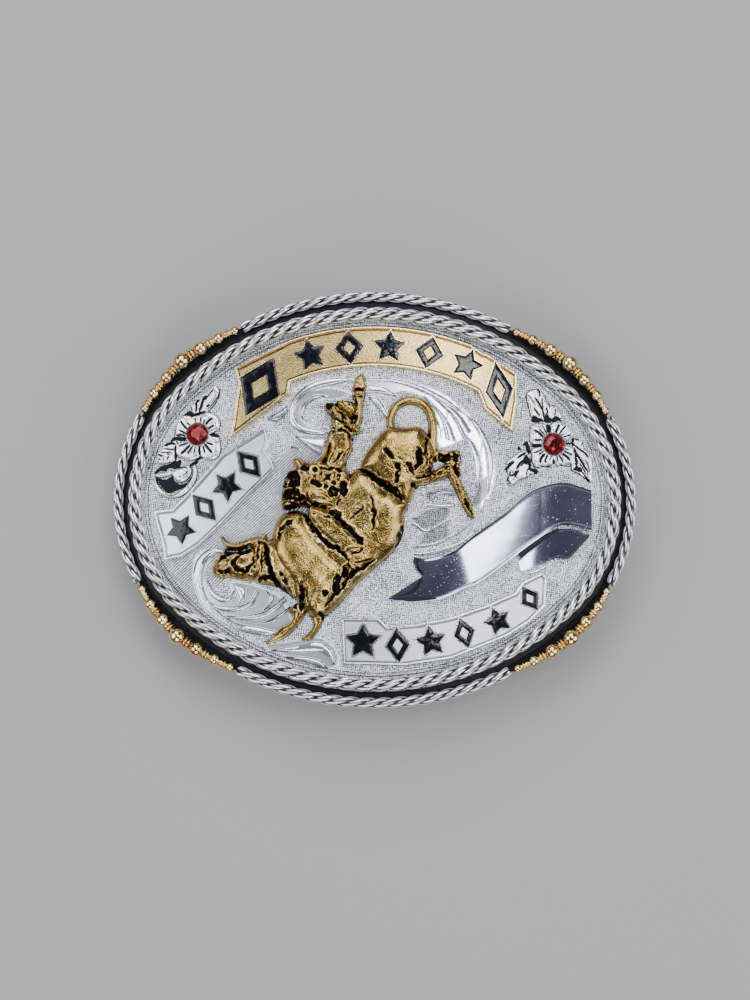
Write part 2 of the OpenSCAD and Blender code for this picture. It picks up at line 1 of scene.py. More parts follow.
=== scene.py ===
"""Looks of an oval western trophy buckle, lying face up: plated face, rope edging, cast bull and rider."""
import bmesh
import bpy
import numpy as np
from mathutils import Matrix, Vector


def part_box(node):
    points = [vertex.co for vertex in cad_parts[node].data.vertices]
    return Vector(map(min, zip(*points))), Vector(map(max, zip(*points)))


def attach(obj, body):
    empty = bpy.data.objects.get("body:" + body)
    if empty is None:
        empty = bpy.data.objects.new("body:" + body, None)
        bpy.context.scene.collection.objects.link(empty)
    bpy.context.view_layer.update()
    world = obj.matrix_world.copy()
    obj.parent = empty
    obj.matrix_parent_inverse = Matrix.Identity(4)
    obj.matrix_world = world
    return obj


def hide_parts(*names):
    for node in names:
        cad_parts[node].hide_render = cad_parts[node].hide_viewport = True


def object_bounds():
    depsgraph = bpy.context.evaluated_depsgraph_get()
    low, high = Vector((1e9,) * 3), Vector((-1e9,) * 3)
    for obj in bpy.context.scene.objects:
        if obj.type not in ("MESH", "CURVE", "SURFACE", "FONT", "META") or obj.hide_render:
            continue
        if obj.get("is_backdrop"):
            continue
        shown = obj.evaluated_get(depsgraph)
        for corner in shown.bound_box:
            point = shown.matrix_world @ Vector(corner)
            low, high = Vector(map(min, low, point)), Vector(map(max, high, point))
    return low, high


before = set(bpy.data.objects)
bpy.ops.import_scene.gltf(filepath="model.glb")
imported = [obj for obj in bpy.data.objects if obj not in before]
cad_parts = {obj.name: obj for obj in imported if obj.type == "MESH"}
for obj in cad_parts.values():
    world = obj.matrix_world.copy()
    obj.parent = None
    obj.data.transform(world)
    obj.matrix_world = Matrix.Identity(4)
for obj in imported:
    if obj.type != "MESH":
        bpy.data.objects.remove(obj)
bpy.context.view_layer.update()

# Base plate. The real one is a sheet of silver-plated metal bent to the waist. A fine border line is
# struck round its edge, the ground inside is frosted and hatched with a graver, and the back is plain.
mm = 0.001
plate_t = 2 * mm
border_h = 0.3 * mm
plate_inset = 0.5 * mm
plate_bevel = 0.15 * mm
strip_out = 0.7 * mm
strip_in = 2.3 * mm
border_inset = 6.45 * mm
border_w = 0.5 * mm
half_w = 54 * mm
half_h = 42.6 * mm
end_x = 19 * mm
end_over_side = half_w - half_h
# How far the centres of the side arcs lie beyond the middle, so that the four arcs meet without a corner.
side_y = end_over_side * (2 * end_x - end_over_side) / (2 * (end_x - end_over_side))
end_r = half_w - end_x
side_r = half_h + side_y
curve_r = 220 * mm
axis_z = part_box("base_plate")[1].z - border_h - curve_r
weld_gap = 0.002 * mm
back_rows = 12
face_rows = 100
last_share = 0.98


def on_face(x, y, height):
    """Points over the bent face: from the bend's axis, the radius plus the height, leaning as x does."""
    lean = x / curve_r
    rise = np.sqrt(1 - lean ** 2)
    return np.stack(np.broadcast_arrays(x + height * lean, y, axis_z + (curve_r + height) * rise), -1)


def oval(turn, inset):
    """x and y of the oval where it faces the direction turn: an arc round each end's centre, and a wider
    arc round the far side's centre along the top and the bottom, both smaller by the inset."""
    c, s = np.cos(turn), np.sin(turn)
    at_end = np.abs(s) * end_x < np.abs(c) * side_y
    x = np.where(at_end, np.sign(c) * end_x + (end_r - inset) * c, (side_r - inset) * c)
    y = np.where(at_end, (end_r - inset) * s, (side_r - inset) * s - np.sign(s) * side_y)
    return x, y


def once_round(count):
    """Angles at equal steps once round a circle."""
    return np.linspace(0, 2 * np.pi, count, endpoint=False)


def grid(points, wrap_rows=False, wrap_columns=False):
    """Points and four-cornered faces of a grid; a wrapped side joins its last line to its first."""
    rows, columns = points.shape[:2]
    r = np.arange(rows if wrap_rows else rows - 1)[:, None]
    c = np.arange(columns if wrap_columns else columns - 1)[None, :]
    here, below = r * columns, (r + 1) % rows * columns
    right = (c + 1) % columns
    faces = np.stack([here + c, here + right, below + right, below + c], -1)
    return points.reshape(-1, 3), faces.reshape(-1, 4)


def outward(points, faces):
    """The faces of a closed form, turned over if the volume that they enclose comes out negative."""
    a, b, c, d = (points[faces[:, i]] - points[0] for i in range(4))
    volume = np.einsum("ij,ij->i", a, np.cross(b, c) + np.cross(c, d)).sum()
    return faces if volume > 0 else faces[:, ::-1]


def add_object(name, data):
    """A new object at the origin, linked to the scene."""
    made = bpy.data.objects.new(name, data)
    bpy.context.scene.collection.objects.link(made)
    return made


def set_piece(name, mesh, finish, nodes=()):
    """Puts a mesh on the buckle with its finish, in place of the solids that it stands for."""
    mesh.materials.append(finish)
    piece = add_object(name, mesh)
    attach(piece, "root")
    if nodes:
        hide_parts(*nodes)


def make_piece(name, forms, finish, slot, nodes=(), crease=35, **tones):
    """One object of several closed forms, each (points, faces). Poles are welded, edges sharper than the
    crease angle stay sharp, and each tone is one number per point, kept as an attribute."""
    starts = np.cumsum([0] + [len(points) for points, faces in forms])
    faces = np.concatenate([outward(*form) + start for form, start in zip(forms, starts)])
    mesh = bpy.data.meshes.new(name)
    mesh.from_pydata(np.concatenate([points for points, faces in forms]), [], faces)
    for tone, values in tones.items():
        mesh.attributes.new(tone, "FLOAT", "POINT").data.foreach_set("value", np.ravel(values))
    work = bmesh.new()
    work.from_mesh(mesh)
    bmesh.ops.remove_doubles(work, verts=work.verts, dist=weld_gap)
    work.to_mesh(mesh)
    work.free()
    mesh.shade_smooth()
    mesh.set_sharp_from_angle(angle=np.radians(crease))
    set_piece(name, mesh, finish, nodes)


class Wire:
    """One socket of a material's node tree. Sums, differences and products of wires add Math nodes."""

    def __init__(self, tree, socket):
        self.tree = tree
        self.socket = socket

    def node(self, kind, values, output=0, **settings):
        """Adds a node of a type: its settings first, then a number or a wire for each of its sockets."""
        made = self.tree.nodes.new("ShaderNode" + kind)
        for name, value in settings.items():
            setattr(made, name, value)
        for place, value in values.items():
            if isinstance(value, Wire):
                self.tree.links.new(value.socket, made.inputs[place])
            else:
                made.inputs[place].default_value = value
        return Wire(self.tree, made.outputs[output])

    def math(self, operation, *values):
        """Adds a Math node with a number or a wire for each of its sockets."""
        return self.node("Math", dict(enumerate(values)), operation=operation)

    def __add__(self, other):
        return self.math("ADD", self, other)

    def __sub__(self, other):
        return self.math("SUBTRACT", self, other)

    def __rsub__(self, other):
        return self.math("SUBTRACT", other, self)

    def __mul__(self, other):
        return self.math("MULTIPLY", self, other)

    __radd__ = __add__
    __rmul__ = __mul__

    def sine(self):
        """The sine of this, as an angle in radians."""
        return self.math("SINE", self)

    def step(self, low, high):
        """0 below low, 1 above high, and a smooth rise between them."""
        values = {0: self, 1: low, 2: high}
        return self.node("MapRange", values, interpolation_type="SMOOTHSTEP")

    def blend(self, first, second):
        """The first colour where this is 0 and the second where it is 1, each a wire or red, green, blue."""
        first, second = (end if isinstance(end, Wire) else (*end, 1) for end in (first, second))
        return self.node("Mix", {0: self, 6: first, 7: second}, output=2, data_type="RGBA")

    def along(self, degrees, pitch):
        """How far a place lies along a direction in the XY plane, as an angle: a full turn in each pitch."""
        a = np.radians(degrees)
        way = (2 * np.pi / pitch * np.cos(a), 2 * np.pi / pitch * np.sin(a), 0)
        return self.node("VectorMath", {0: self, 1: way}, output=1, operation="DOT_PRODUCT")

    def noise(self, size, detail=2):
        """Noise whose grains are about the given size across."""
        return self.node("TexNoise", {"Vector": self, "Scale": 1 / size, "Detail": detail})

    def tone(self, name):
        """A tone kept on the mesh: one number for each of its points or faces."""
        return self.node("Attribute", {}, output=2, attribute_name=name)

    def bump(self, depth):
        """A normal for heights from 0 to 1 that stand for the given depth."""
        return self.node("Bump", {"Height": self, "Distance": depth})


def new_finish(name, values):
    """A material with fixed values on its shader's own sockets, and a wire of the object's coordinates."""
    finish = bpy.data.materials.new(name)
    finish.use_nodes = True
    for socket, value in values.items():
        finish.node_tree.nodes["Principled BSDF"].inputs[socket].default_value = value
    place = finish.node_tree.nodes.new("ShaderNodeTexCoord").outputs["Object"]
    return finish, Wire(finish.node_tree, place)


def feed(finish, **wires):
    """Links wires to the sockets of the finish's shader; an underscore in a name stands for a space."""
    shader = finish.node_tree.nodes["Principled BSDF"]
    for name, wire in wires.items():
        finish.node_tree.links.new(wire.socket, shader.inputs[name.replace("_", " ")])


def plate_rows(turn):
    """The plate's skin as a profile carried round the oval: over the back from its middle, up the edge,
    over the border line and in to the middle of the face. Each row: share of the way out from the middle,
    inset, height, and how black it is, for a strip of the rim is enamelled and the border line's feet are
    painted dark as shade. The plate is plain where the height is below the face."""
    back = [(share, plate_inset, -plate_t, 0) for share in np.linspace(0, last_share, back_rows)]
    bevel_in = plate_inset + plate_bevel
    edge = [(1, bevel_in, -plate_t, 0), (1, plate_inset, plate_bevel - plate_t, 0),
            (1, plate_inset, -plate_bevel, 0), (1, bevel_in, 0, 0), (1, strip_out, 0, 1),
            (1, strip_in, 0, 1), (1, strip_in + 0.05 * mm, 0, 0)]
    # The border line's section: how far in, height, and black, which at its feet is painted shade.
    line = [(-0.25, 0, 0), (-0.07, 0, 0.8), (0, 0, 0.8), (0.02, 0.2, 0), (0.11, 0.3, 0), (0.39, 0.3, 0),
            (0.48, 0.2, 0), (0.5, 0, 0.8), (0.6, 0, 0.8), (0.75, 0, 0)]
    border = [(1, border_inset + inwards * mm, height * mm, black) for inwards, height, black in line]
    face = [(share, border_inset + border_w, 0, 0) for share in np.linspace(last_share, 0, face_rows)]
    rows = back + edge + border + face
    share, inset, height, black = (np.array(column)[:, None] for column in zip(*rows))
    x, y = oval(turn[None, :], inset)
    shape = len(share), len(turn)
    black, plain = np.broadcast_to(black, shape), np.broadcast_to(height < 0, shape)
    return on_face(share * x, share * y, height), black, plain


def smooth_path(points, count, closed=False):
    """A smooth curve through a few points: each span is the cubic that passes its two ends in the
    direction from the point before to the point after."""
    p = np.array(points, float)
    before, after = (p[-1:], p[:2]) if closed else (2 * p[:1] - p[1:2], 2 * p[-1:] - p[-2:-1])
    p = np.concatenate([before, p, after])
    place = np.linspace(0, len(p) - 3, count, endpoint=not closed)
    span = np.minimum(place.astype(int), len(p) - 4)
    t = (place - span)[:, None]
    a, b, c, d = (p[span + i] for i in range(4))
    square, cube = 2 * a - 5 * b + 4 * c - d, 3 * b - a - 3 * c + d
    return 0.5 * (2 * b + (c - a) * t + square * t ** 2 + cube * t ** 3)


def signed_distance(x, y, outline):
    """Distance to a closed outline, positive inside, by the nearest of its edges and the winding."""
    a, b = outline, np.roll(outline, -1, 0)
    edge = b - a
    px, py = x[..., None] - a[:, 0], y[..., None] - a[:, 1]
    t = np.clip((px * edge[:, 0] + py * edge[:, 1]) / (edge ** 2).sum(1), 0, 1)
    near = np.hypot(px - t * edge[:, 0], py - t * edge[:, 1]).min(-1)
    crossed = (a[:, 1] > y[..., None]) != (b[:, 1] > y[..., None])
    side = px < edge[:, 0] * py / np.where(edge[:, 1] == 0, 1e-9, edge[:, 1])
    return np.where((crossed & side).sum(-1) % 2 == 1, near, -near)


silver_ground, place = new_finish("silver_ground", {})
hatch_pitch = 0.6 * mm
hatch_turn = 38
line_pitch = 0.44 * mm
line_turn = -48
waver = place.noise(2.5 * mm) * 7
one_way = (place.along(hatch_turn, hatch_pitch) + waver).sine()
other_way = (place.along(hatch_turn + 90, hatch_pitch) - waver).sine()
lines = (place.along(line_turn, line_pitch) + waver).sine()
lined = place.tone("lined")
hatch = one_way * other_way * (1 - lined) + lines * lined
bright_cut = place.tone("bright_cut")
grain = place.noise(0.3 * mm, 1)
texture = (hatch * (lined * 0.06 + 0.2) + grain) * (1 - bright_cut) + bright_cut * 0.62
# Black: the enamelled strip of the rim, the border line's feet painted dark as shade, and the darker areas
# between the scrolls.
black = place.tone("black")
mottle = place.noise(5 * mm, 3).step(0.3, 0.7)
frosted = (texture - mottle * 0.1).step(0.27, 0.56).blend((0.07, 0.08, 0.11), (0.97, 0.98, 1.0))
feed(
    silver_ground,
    Base_Color=black.blend(frosted, (0.003, 0.003, 0.005)),
    Metallic=bright_cut * 0.4 + 0.4,
    Roughness=mottle * 0.08 + black * 0.3 - bright_cut * 0.1 + 0.26,
    Normal=texture.bump(0.24 * mm)
)

plate, plate_black, plain = plate_rows(once_round(640))
plate_x, plate_y = plate[..., 0] / mm, plate[..., 1] / mm
# Left of the figure a slanted band of the ground is cut with lines one way.
on_lined = (plate_x < -8) & (plate_y < 0.9 * plate_x + 26) & (plate_y > 0.75 * plate_x + 6)
# Areas cut bright and smooth under the scrolls, as outlines.
cut_areas = [
    [(-8.5, 22.7), (-11.5, 22.5), (-14.6, 21.7), (-16.7, 20), (-17.5, 17.7), (-17.3, 15.4), (-15.8, 13.5),
     (-12.7, 12.7), (-9.6, 13.1), (-9.8, 14.8), (-12.3, 14.6), (-14.2, 15.2), (-15.4, 16.6), (-15.3, 18.5),
     (-13.8, 20), (-12.3, 20.8), (-9.8, 20.2), (-7, 20.6), (-5, 21.6)],
    [(-16.5, 22.4), (-12, 24.3), (-8, 24.9), (-4.6, 24.6), (-4.6, 23.4), (-8, 23.6), (-12, 23.2), (-15, 22)],
    [(-1.5, 24.6), (3, 24.6), (8, 23.9), (13, 22.2), (18, 18.8), (22, 14.2), (24.3, 9), (24.6, 4), (23.4, 0),
     (21.6, -2), (21.8, 2), (22, 6), (21, 10), (19, 12.5), (16.5, 11.4), (13.2, 10.6), (13, 14.5), (12, 18.2),
     (9.8, 20.8), (6, 22), (2, 21.2), (-1.2, 21)],
    [(-35, -10.6), (-37, -12.5), (-37.3, -16), (-36.5, -19), (-34.4, -22), (-31, -25), (-27, -26.9),
     (-22, -28), (-18.5, -27.6), (-16.8, -25.6), (-17.5, -23), (-19.5, -20), (-22.5, -18.6), (-26, -17.6),
     (-29.2, -17.3), (-28.9, -19.6), (-29.8, -21), (-32, -20.6), (-34, -19), (-34.9, -16.6), (-34.8, -14.6),
     (-33.8, -12.6), (-33.6, -11)],
    [(-22.3, -30.2), (-18, -29.4), (-12, -28.4), (-9.4, -29.2), (-7.6, -31.2), (-7.4, -34), (-10, -34.2),
     (-15, -33), (-19.5, -31.4)],
]
# Areas cut darker between the scrolls right of the figure.
dark_areas = [
    [(8, -4.6), (9, -4), (10.3, -3), (11.5, -2.2), (15, -2.1), (15.2, -3), (14.4, -4.2), (12.8, -5.4),
     (11, -6), (9.4, -5.8)],
    [(9, -9.5), (9.6, -8.4), (10.6, -7.1), (12.5, -6.1), (14, -5.5), (15, -5.1), (15, -6.6), (14.8, -7.6),
     (12, -9), (10, -9.4)],
    [(10.5, 0.4), (12, 1.8), (15, 2.2), (16.2, 1.6), (16, 0.2), (13.4, 0.8), (11.6, -0.4)],
    [(21.6, 3.4), (23, 4.6), (23.8, 2.6), (22.8, 0.4), (21, -1.2), (20, -1), (20.6, 1)],
]


def ramp(value, start, stop):
    """0 up to a start, 1 from a stop on, and even between them; the stop may be the lower one."""
    return np.clip((value - start) / (stop - start), 0, 1)


def plate_area(areas, blend=0.3, reach=16):
    """1 on the plate within some outlines and 0 outside them, changing over the blend. Only places within
    the reach of an outline's middle are measured, which is further than it goes."""
    area = np.zeros(plate_x.shape)
    for points in areas:
        outline = smooth_path(points, 5 * len(points), closed=True)
        x, y = outline.mean(0)
        near = (np.abs(plate_x - x) < reach) & (np.abs(plate_y - y) < reach)
        inside = signed_distance(plate_x[near], plate_y[near], outline)
        area[near] = np.maximum(area[near], ramp(inside, -blend / 2, blend / 2))
    return area


make_piece(
    "engraved_plate", [grid(plate, wrap_columns=True)], silver_ground, "plate_silver", ["base_plate"],
    lined=on_lined.astype(float), black=np.maximum(plate_black, 0.6 * plate_area(dark_areas)),
    bright_cut=np.maximum(plain, plate_area(cut_areas))
)

# Engraved scrolls. On the real plate they are cut bright into the frosted ground: smooth leaf bands
# with a fine raised line along each side. They are the plate's own metal.
leaf_steps = 90
narrow_leaf = 0.3
# A leaf's section from its edge to its middle: how far in, height, how dark. The first two rows, at its foot,
# are painted dark as shade. The last row is the middle.
leaf_section = [
    (0, -0.1, 1), (0.02, 0.04, 1), (0.1, 0.2, 0.1), (0.2, 0.21, 0), (0.28, 0.06, 0.9), (0.36, 0.06, 0.9),
    (0.46, 0.16, 0.1), (9, 0.17, 0),
]


def run_length(path):
    """Length along a path up to each of its points: the sum of the steps before it."""
    return np.concatenate([[0], np.cumsum(np.linalg.norm(np.diff(path, axis=0), axis=1))])


def resample(points, count):
    """A smooth path through points, cut into equal lengths."""
    dense = smooth_path(points, 40 * len(points))
    run = run_length(dense)
    places = np.linspace(0, run[-1], count)
    return np.stack([np.interp(places, run, column) for column in dense.T], 1)


def over_face(flat, height, lift=0.0):
    """Points over the bent face from pairs of x and y and heights in millimetres, raised by a lift."""
    return on_face(flat[..., 0] * mm, flat[..., 1] * mm, height * mm + lift)


def leaf(one_edge, other_edge, base=0.0, thick=1.0):
    """A closed leaf between two edges. Its columns lie at fixed distances in from both: a foot painted dark
    as shade, a bright rim, a cut line that stays dark, and a smooth middle, lower where the leaf is narrow.
    Also gives how dark each point is."""
    one, other = resample(one_edge, leaf_steps), resample(other_edge, leaf_steps)
    middle, half = (one + other) / 2, (one - other) / 2
    wide = np.linalg.norm(half, axis=1)[:, None]
    inwards, height, dark = np.array(leaf_section + leaf_section[-2::-1]).T
    side = np.sign(np.arange(len(inwards) - 1, -len(inwards), -2))
    reach = np.maximum(wide - inwards, 0) * side
    flat = middle[:, None] + half[:, None] / np.maximum(wide, 1e-6)[..., None] * reach[..., None]
    raised = height * thick * np.minimum(1, wide / narrow_leaf)
    height = np.where(height > 0, raised, height * thick) + base
    points = over_face(flat, height)
    return grid(points, wrap_columns=True), np.broadcast_to(dark, points.shape[:2])


def split_tones(shapes):
    """The forms of some (form, tone) pairs, and all their tones in one row."""
    return [form for form, tone in shapes], np.concatenate([np.ravel(tone) for form, tone in shapes])


# Each leaf: the points of its one edge, then of its other edge.
leaves = [
    [[(-5, 25), (-10, 24.7), (-14.2, 23.3), (-17, 20.6), (-17.9, 17.5), (-17.2, 14.8), (-14.8, 13.2),
      (-11, 12.8), (-9.4, 13.3)],
     [(-5, 24), (-8.5, 23.2), (-12, 22.4), (-14.9, 20.8), (-16.3, 18.4), (-16, 16.2), (-14.4, 14.7),
      (-11.8, 14.2), (-9.4, 13.6)]],
    [[(-9.6, 21.2), (-12.4, 21.3), (-14.8, 19.6), (-15.6, 17.4), (-14.9, 15.8)],
     [(-9.6, 20.8), (-12.2, 20.2), (-13.9, 18.9), (-14.5, 17.4), (-14.6, 15.9)]],
    [[(-22.7, 16.1), (-20.8, 17.5), (-18.9, 18.6), (-18.1, 19.9)],
     [(-22.7, 15.9), (-19.8, 15.9), (-18.2, 17.3), (-17.9, 19.7)]],
    [[(-17.6, 13.4), (-15, 12.6), (-12, 12.3), (-10.4, 12.4)],
     [(-17.5, 13.2), (-15, 11.3), (-12.8, 9.5), (-11.2, 8.4)]],
    [[(-17.4, 9.8), (-17.3, 10.7), (-16.2, 10.9), (-15, 9.6)],
     [(-17.2, 9.7), (-16.7, 10.1), (-16, 9.9), (-15.2, 9.3)]],
    [[(-1.6, 24.9), (4, 24.7), (9.5, 23.3), (14.5, 20.8), (19, 17.4)],
     [(-1.4, 23.9), (4, 23.6), (9, 22), (13.8, 19.6), (18.8, 17)]],
    [[(-1.2, 23.4), (2, 22.9), (5, 20.9)], [(-1.4, 21.4), (1.4, 21.3), (4.8, 20.6)]],
    [[(-0.9, 21), (1.2, 20.2), (2.6, 17.6)], [(-1.3, 20.4), (0, 18.9), (2.2, 16.4)]],
    [[(11, 22.2), (14.4, 19.9), (17.6, 17.4), (19.9, 14)],
     [(10.6, 21.7), (13.6, 18.9), (15.9, 16.4), (18, 12.2)]],
    [[(10.2, 21.4), (13, 18.6), (15.2, 15.8), (16.9, 11.6)],
     [(9.8, 20.9), (12.4, 18), (13.8, 15.2), (14.4, 12.2)]],
    [[(12.2, 17.6), (13.3, 15.4), (13.7, 12.6)], [(11.9, 17.2), (12.3, 14.8), (12.6, 11)]],
    [[(18.6, 17.6), (21.3, 15.6), (23.6, 11.5), (24.4, 7), (23.4, 1)],
     [(18.8, 17), (20.4, 14.6), (22.2, 10.8), (22.8, 6.6), (23, 1)]],
    [[(18.6, 13.6), (20.6, 11), (21.8, 7.4), (21.2, 2)], [(18.4, 13), (19.2, 10.4), (19.8, 7.2), (20.8, 2)]],
    [[(17.6, 11.2), (18.7, 8.4), (19, 5)], [(17.2, 10.8), (17.6, 8.4), (18.6, 4.8)]],
    [[(14.4, 20.2), (14.9, 18.2), (15, 16.4), (14.4, 14.8), (13.3, 13)],
     [(14.1, 20), (14.5, 18.2), (14.6, 16.5), (14, 15), (13, 13.2)]],
    [[(16.7, 20), (18, 18.4), (19.1, 16.8), (19.9, 15)],
     [(16.4, 19.8), (17.6, 18.2), (18.7, 16.6), (19.5, 15)]],
    [[(20.6, 15.8), (21.7, 14.1), (22.2, 11.8), (21.8, 8)],
     [(20.3, 15.6), (21.3, 13.9), (21.7, 11.8), (21.4, 8.2)]],
    [[(23.2, 0.2), (22, -2.4), (20, -4.2), (17.5, -6.3), (15, -7.7), (13, -8.8), (10.5, -9.4), (8, -9.8)],
     [(22.4, -0.2), (21.6, -2.6), (20.1, -4.7), (17.8, -6.9), (15.2, -8.4), (13, -9.5), (10.5, -10.1),
      (8, -10.3)]],
    [[(10.6, -1.1), (13, -1.3), (16.2, -1.2)], [(10.8, -1.8), (13, -2.1), (16, -2)]],
    [[(7.2, -4.3), (8.8, -3.5), (10.6, -2.2)], [(7.3, -4.7), (9.2, -4), (10.6, -2.9)]],
    [[(6.6, -5), (8.4, -5.2), (10, -6.3), (11.3, -6.3), (13, -5.2), (15.6, -3.9)],
     [(6.6, -5.3), (8, -5.7), (9.9, -6.9), (11.4, -6.8), (13.2, -5.8), (15.6, -4.5)]],
    [[(8.5, -9.8), (9.2, -8.1), (10.5, -6.7)], [(8.8, -9.8), (9.6, -8.2), (10.8, -7)]],
    [[(8, -11.2), (11, -10.9), (14, -10.1), (17.4, -8.9), (20, -6.9)],
     [(8.1, -11.8), (11, -11.7), (14, -11), (17.4, -9.5), (20, -7.3)]],
    [[(9.5, 1), (12, 2.6), (15, 3)], [(9.6, 0.6), (12, 2.1), (14.8, 2.4)]],
    [[(11.4, 0.3), (13.4, 1.4), (15.6, 1.3)], [(11.6, -0.2), (13.6, 0.7), (15.8, 0.7)]],
    [[(-31, -10.4), (-34.2, -10.3), (-36.9, -13.2), (-37.1, -17.6), (-34.6, -22.9), (-29, -26.8),
      (-23, -28.2), (-19.6, -28)],
     [(-31.2, -11.6), (-33.4, -12), (-34.9, -14.4), (-35, -18), (-33.2, -21.8), (-28.5, -25.2), (-23, -26.4),
      (-19.4, -27.2)]],
    [[(-34.6, -16), (-33.9, -19.6), (-31.8, -21.4), (-29.4, -21.2), (-28.4, -19.2)],
     [(-34.5, -15.7), (-33, -18.8), (-31.2, -20.2), (-29.8, -20.1), (-28.7, -18.6)]],
    [[(-34.4, -21.4), (-31.5, -23.2), (-28, -23.4), (-25, -22.2), (-23.4, -19.6)],
     [(-34.2, -20.9), (-31.5, -21.9), (-28, -22), (-25.6, -21), (-24, -18.6)]],
    [[(-28.4, -18.8), (-27.6, -20.9), (-27.8, -21.8)], [(-28.3, -17.6), (-26.4, -18.6), (-26.2, -20.9)]],
    [[(-30.6, -24.4), (-26.5, -25.2), (-22.5, -24.7), (-19.6, -23), (-17.6, -21)],
     [(-30.4, -23.9), (-26.5, -23.9), (-23, -23.3), (-20.6, -21.8), (-18.4, -20)]],
    [[(-25.6, -26), (-21.6, -25.6), (-18.6, -24.2), (-17, -22.8)],
     [(-25.4, -25.8), (-21.8, -25), (-19.4, -23.6), (-17.2, -22)]],
    [[(-22.2, -19.4), (-21.4, -20.8), (-22.8, -23)], [(-21.6, -19), (-20.2, -20.6), (-22, -23)]],
    [[(-22, -31), (-16, -30), (-11.2, -29.2), (-8.6, -30.8), (-7.7, -33.6)],
     [(-22, -31.3), (-16, -31.6), (-11.4, -31.4), (-9.7, -32.2), (-8.3, -34)]],
    [[(-19.6, -32.2), (-14.5, -32.2), (-10.8, -33), (-9, -34.8)],
     [(-19.4, -32.5), (-14.5, -33.4), (-11.4, -34.3), (-9.4, -35)]],
    [[(30.2, -15.3), (34, -14.2), (37, -12.2), (39.2, -12.1), (39.4, -14.4), (37.6, -18.6)],
     [(30.6, -15.6), (34.2, -14.7), (37, -13.1), (38.4, -12.9), (38.4, -14.6), (37.2, -18.4)]],
]
bright_silver, place = new_finish("bright_cut_silver", {"Metallic": 1.0})
# Dark in the leaves' cut lines, and at their feet as painted shade.
cut = place.tone("dark")
scuffs = place.noise(1.5 * mm, 4)
smooth = scuffs.step(0.35, 0.65).blend((0.84, 0.86, 0.93), (0.96, 0.96, 0.99))
feed(
    bright_silver,
    Base_Color=cut.blend(smooth, (0.10, 0.10, 0.13)),
    Roughness=scuffs * 0.12 + 0.16,
    Normal=place.noise(0.5 * mm).bump(0.04 * mm)
)
forms, dark = split_tones([leaf(*edges) for edges in leaves])
make_piece("leaf_scrolls", forms, bright_silver, "plate_silver", crease=50, dark=dark)

# Ropes. Each is three strands of fluted silver wire, twisted left-handed and soldered down. The inner
# one is a closed loop, and the outer one runs in four lengths between the rows of beads.
strand_count = 3
strand_sides = 24
strand_share = 0.43
strand_off = 0.53
flute_depth = 0.15
flute_twist = 1.5
seat_gap = 0.1 * mm
dense_turn = np.linspace(-np.pi, 3 * np.pi, 14400)


def unit(vectors):
    """Each vector divided by its length."""
    return vectors / np.linalg.norm(vectors, axis=-1, keepdims=True)


def square_to(way, vectors):
    """Unit vectors square to a unit way: each vector less its share along the way, at length 1."""
    return unit(vectors - (vectors * way).sum(-1, keepdims=True) * way)


def face_up(x, y):
    """Unit vectors square to the bent face."""
    return on_face(x, y, 1) - on_face(x, y, 0)


def tube(core, one, two, reach, sides):
    """Rings of points round a core: the core, plus a reach times the cosine of the angle along one unit
    vector, plus the reach times the sine along the other."""
    a = once_round(sides)
    across = (np.cos(a) * reach)[..., None] * one[:, None]
    return core[:, None] + across + (np.sin(a) * reach)[..., None] * two[:, None]


def round_oval(length, inset):
    """The direction that the oval faces after a length along it from its right end."""
    run = run_length(np.stack(oval(dense_turn, inset), 1))
    return np.interp(length + np.interp(0, dense_turn, run), run, dense_turn)


def oval_length(inset):
    """Length once round the oval: two arcs at the ends and two along the sides."""
    corner = np.arctan2(side_y, end_x)
    return 4 * ((end_r - inset) * corner + (side_r - inset) * (np.pi / 2 - corner))


def rope_forms(start, length, inset, radius, crossings, steps, flutes, closed):
    """Three strands as tubes. A strand's middle circles the rope's middle line once in three crossings,
    and its section is a circle with shallow flutes, square to its own path."""
    s = start + length * np.linspace(0, 1, steps, endpoint=not closed)
    turn = round_oval(s, inset)
    x, y = oval(turn, inset)
    up = face_up(x, y)
    out = square_to(up, np.stack([np.cos(turn), np.sin(turn), 0 * turn], 1))
    middle = on_face(x, y, radius + seat_gap)
    twist = 2 * np.pi * (s - start) / (strand_count * oval_length(inset) / crossings)
    flute = np.cos(flutes * once_round(strand_sides) - flute_twist * flutes * twist[:, None])
    end = 1 if closed else np.sqrt(np.clip(np.minimum(s - s[0], s[-1] - s) / (0.5 * radius), 0, 1))
    wide = strand_share * radius * (1 + flute_depth * flute) * np.reshape(end, (-1, 1))
    shapes = []
    for number in range(strand_count):
        a = (twist + 2 * np.pi * number / strand_count)[:, None]
        off = np.cos(a) * out + np.sin(a) * up
        core = middle + strand_off * radius * off
        way = unit(np.roll(core, -1, 0) - np.roll(core, 1, 0) if closed else np.gradient(core, axis=0))
        one = square_to(way, off)
        points = tube(core, one, np.cross(way, one), wide, strand_sides)
        # How deep each point lies, and more so in a flute's groove, for the painted shade between the
        # strands.
        depth = 1 - np.linalg.norm(points - middle[:, None], axis=2) / radius
        in_flute = 0.34 * (0.5 - 0.5 * flute) ** 3
        shapes.append((grid(points, wrap_rows=closed, wrap_columns=True), depth + in_flute))
    return split_tones(shapes)


rope_silver, place = new_finish("rope_silver", {"Metallic": 0.65})
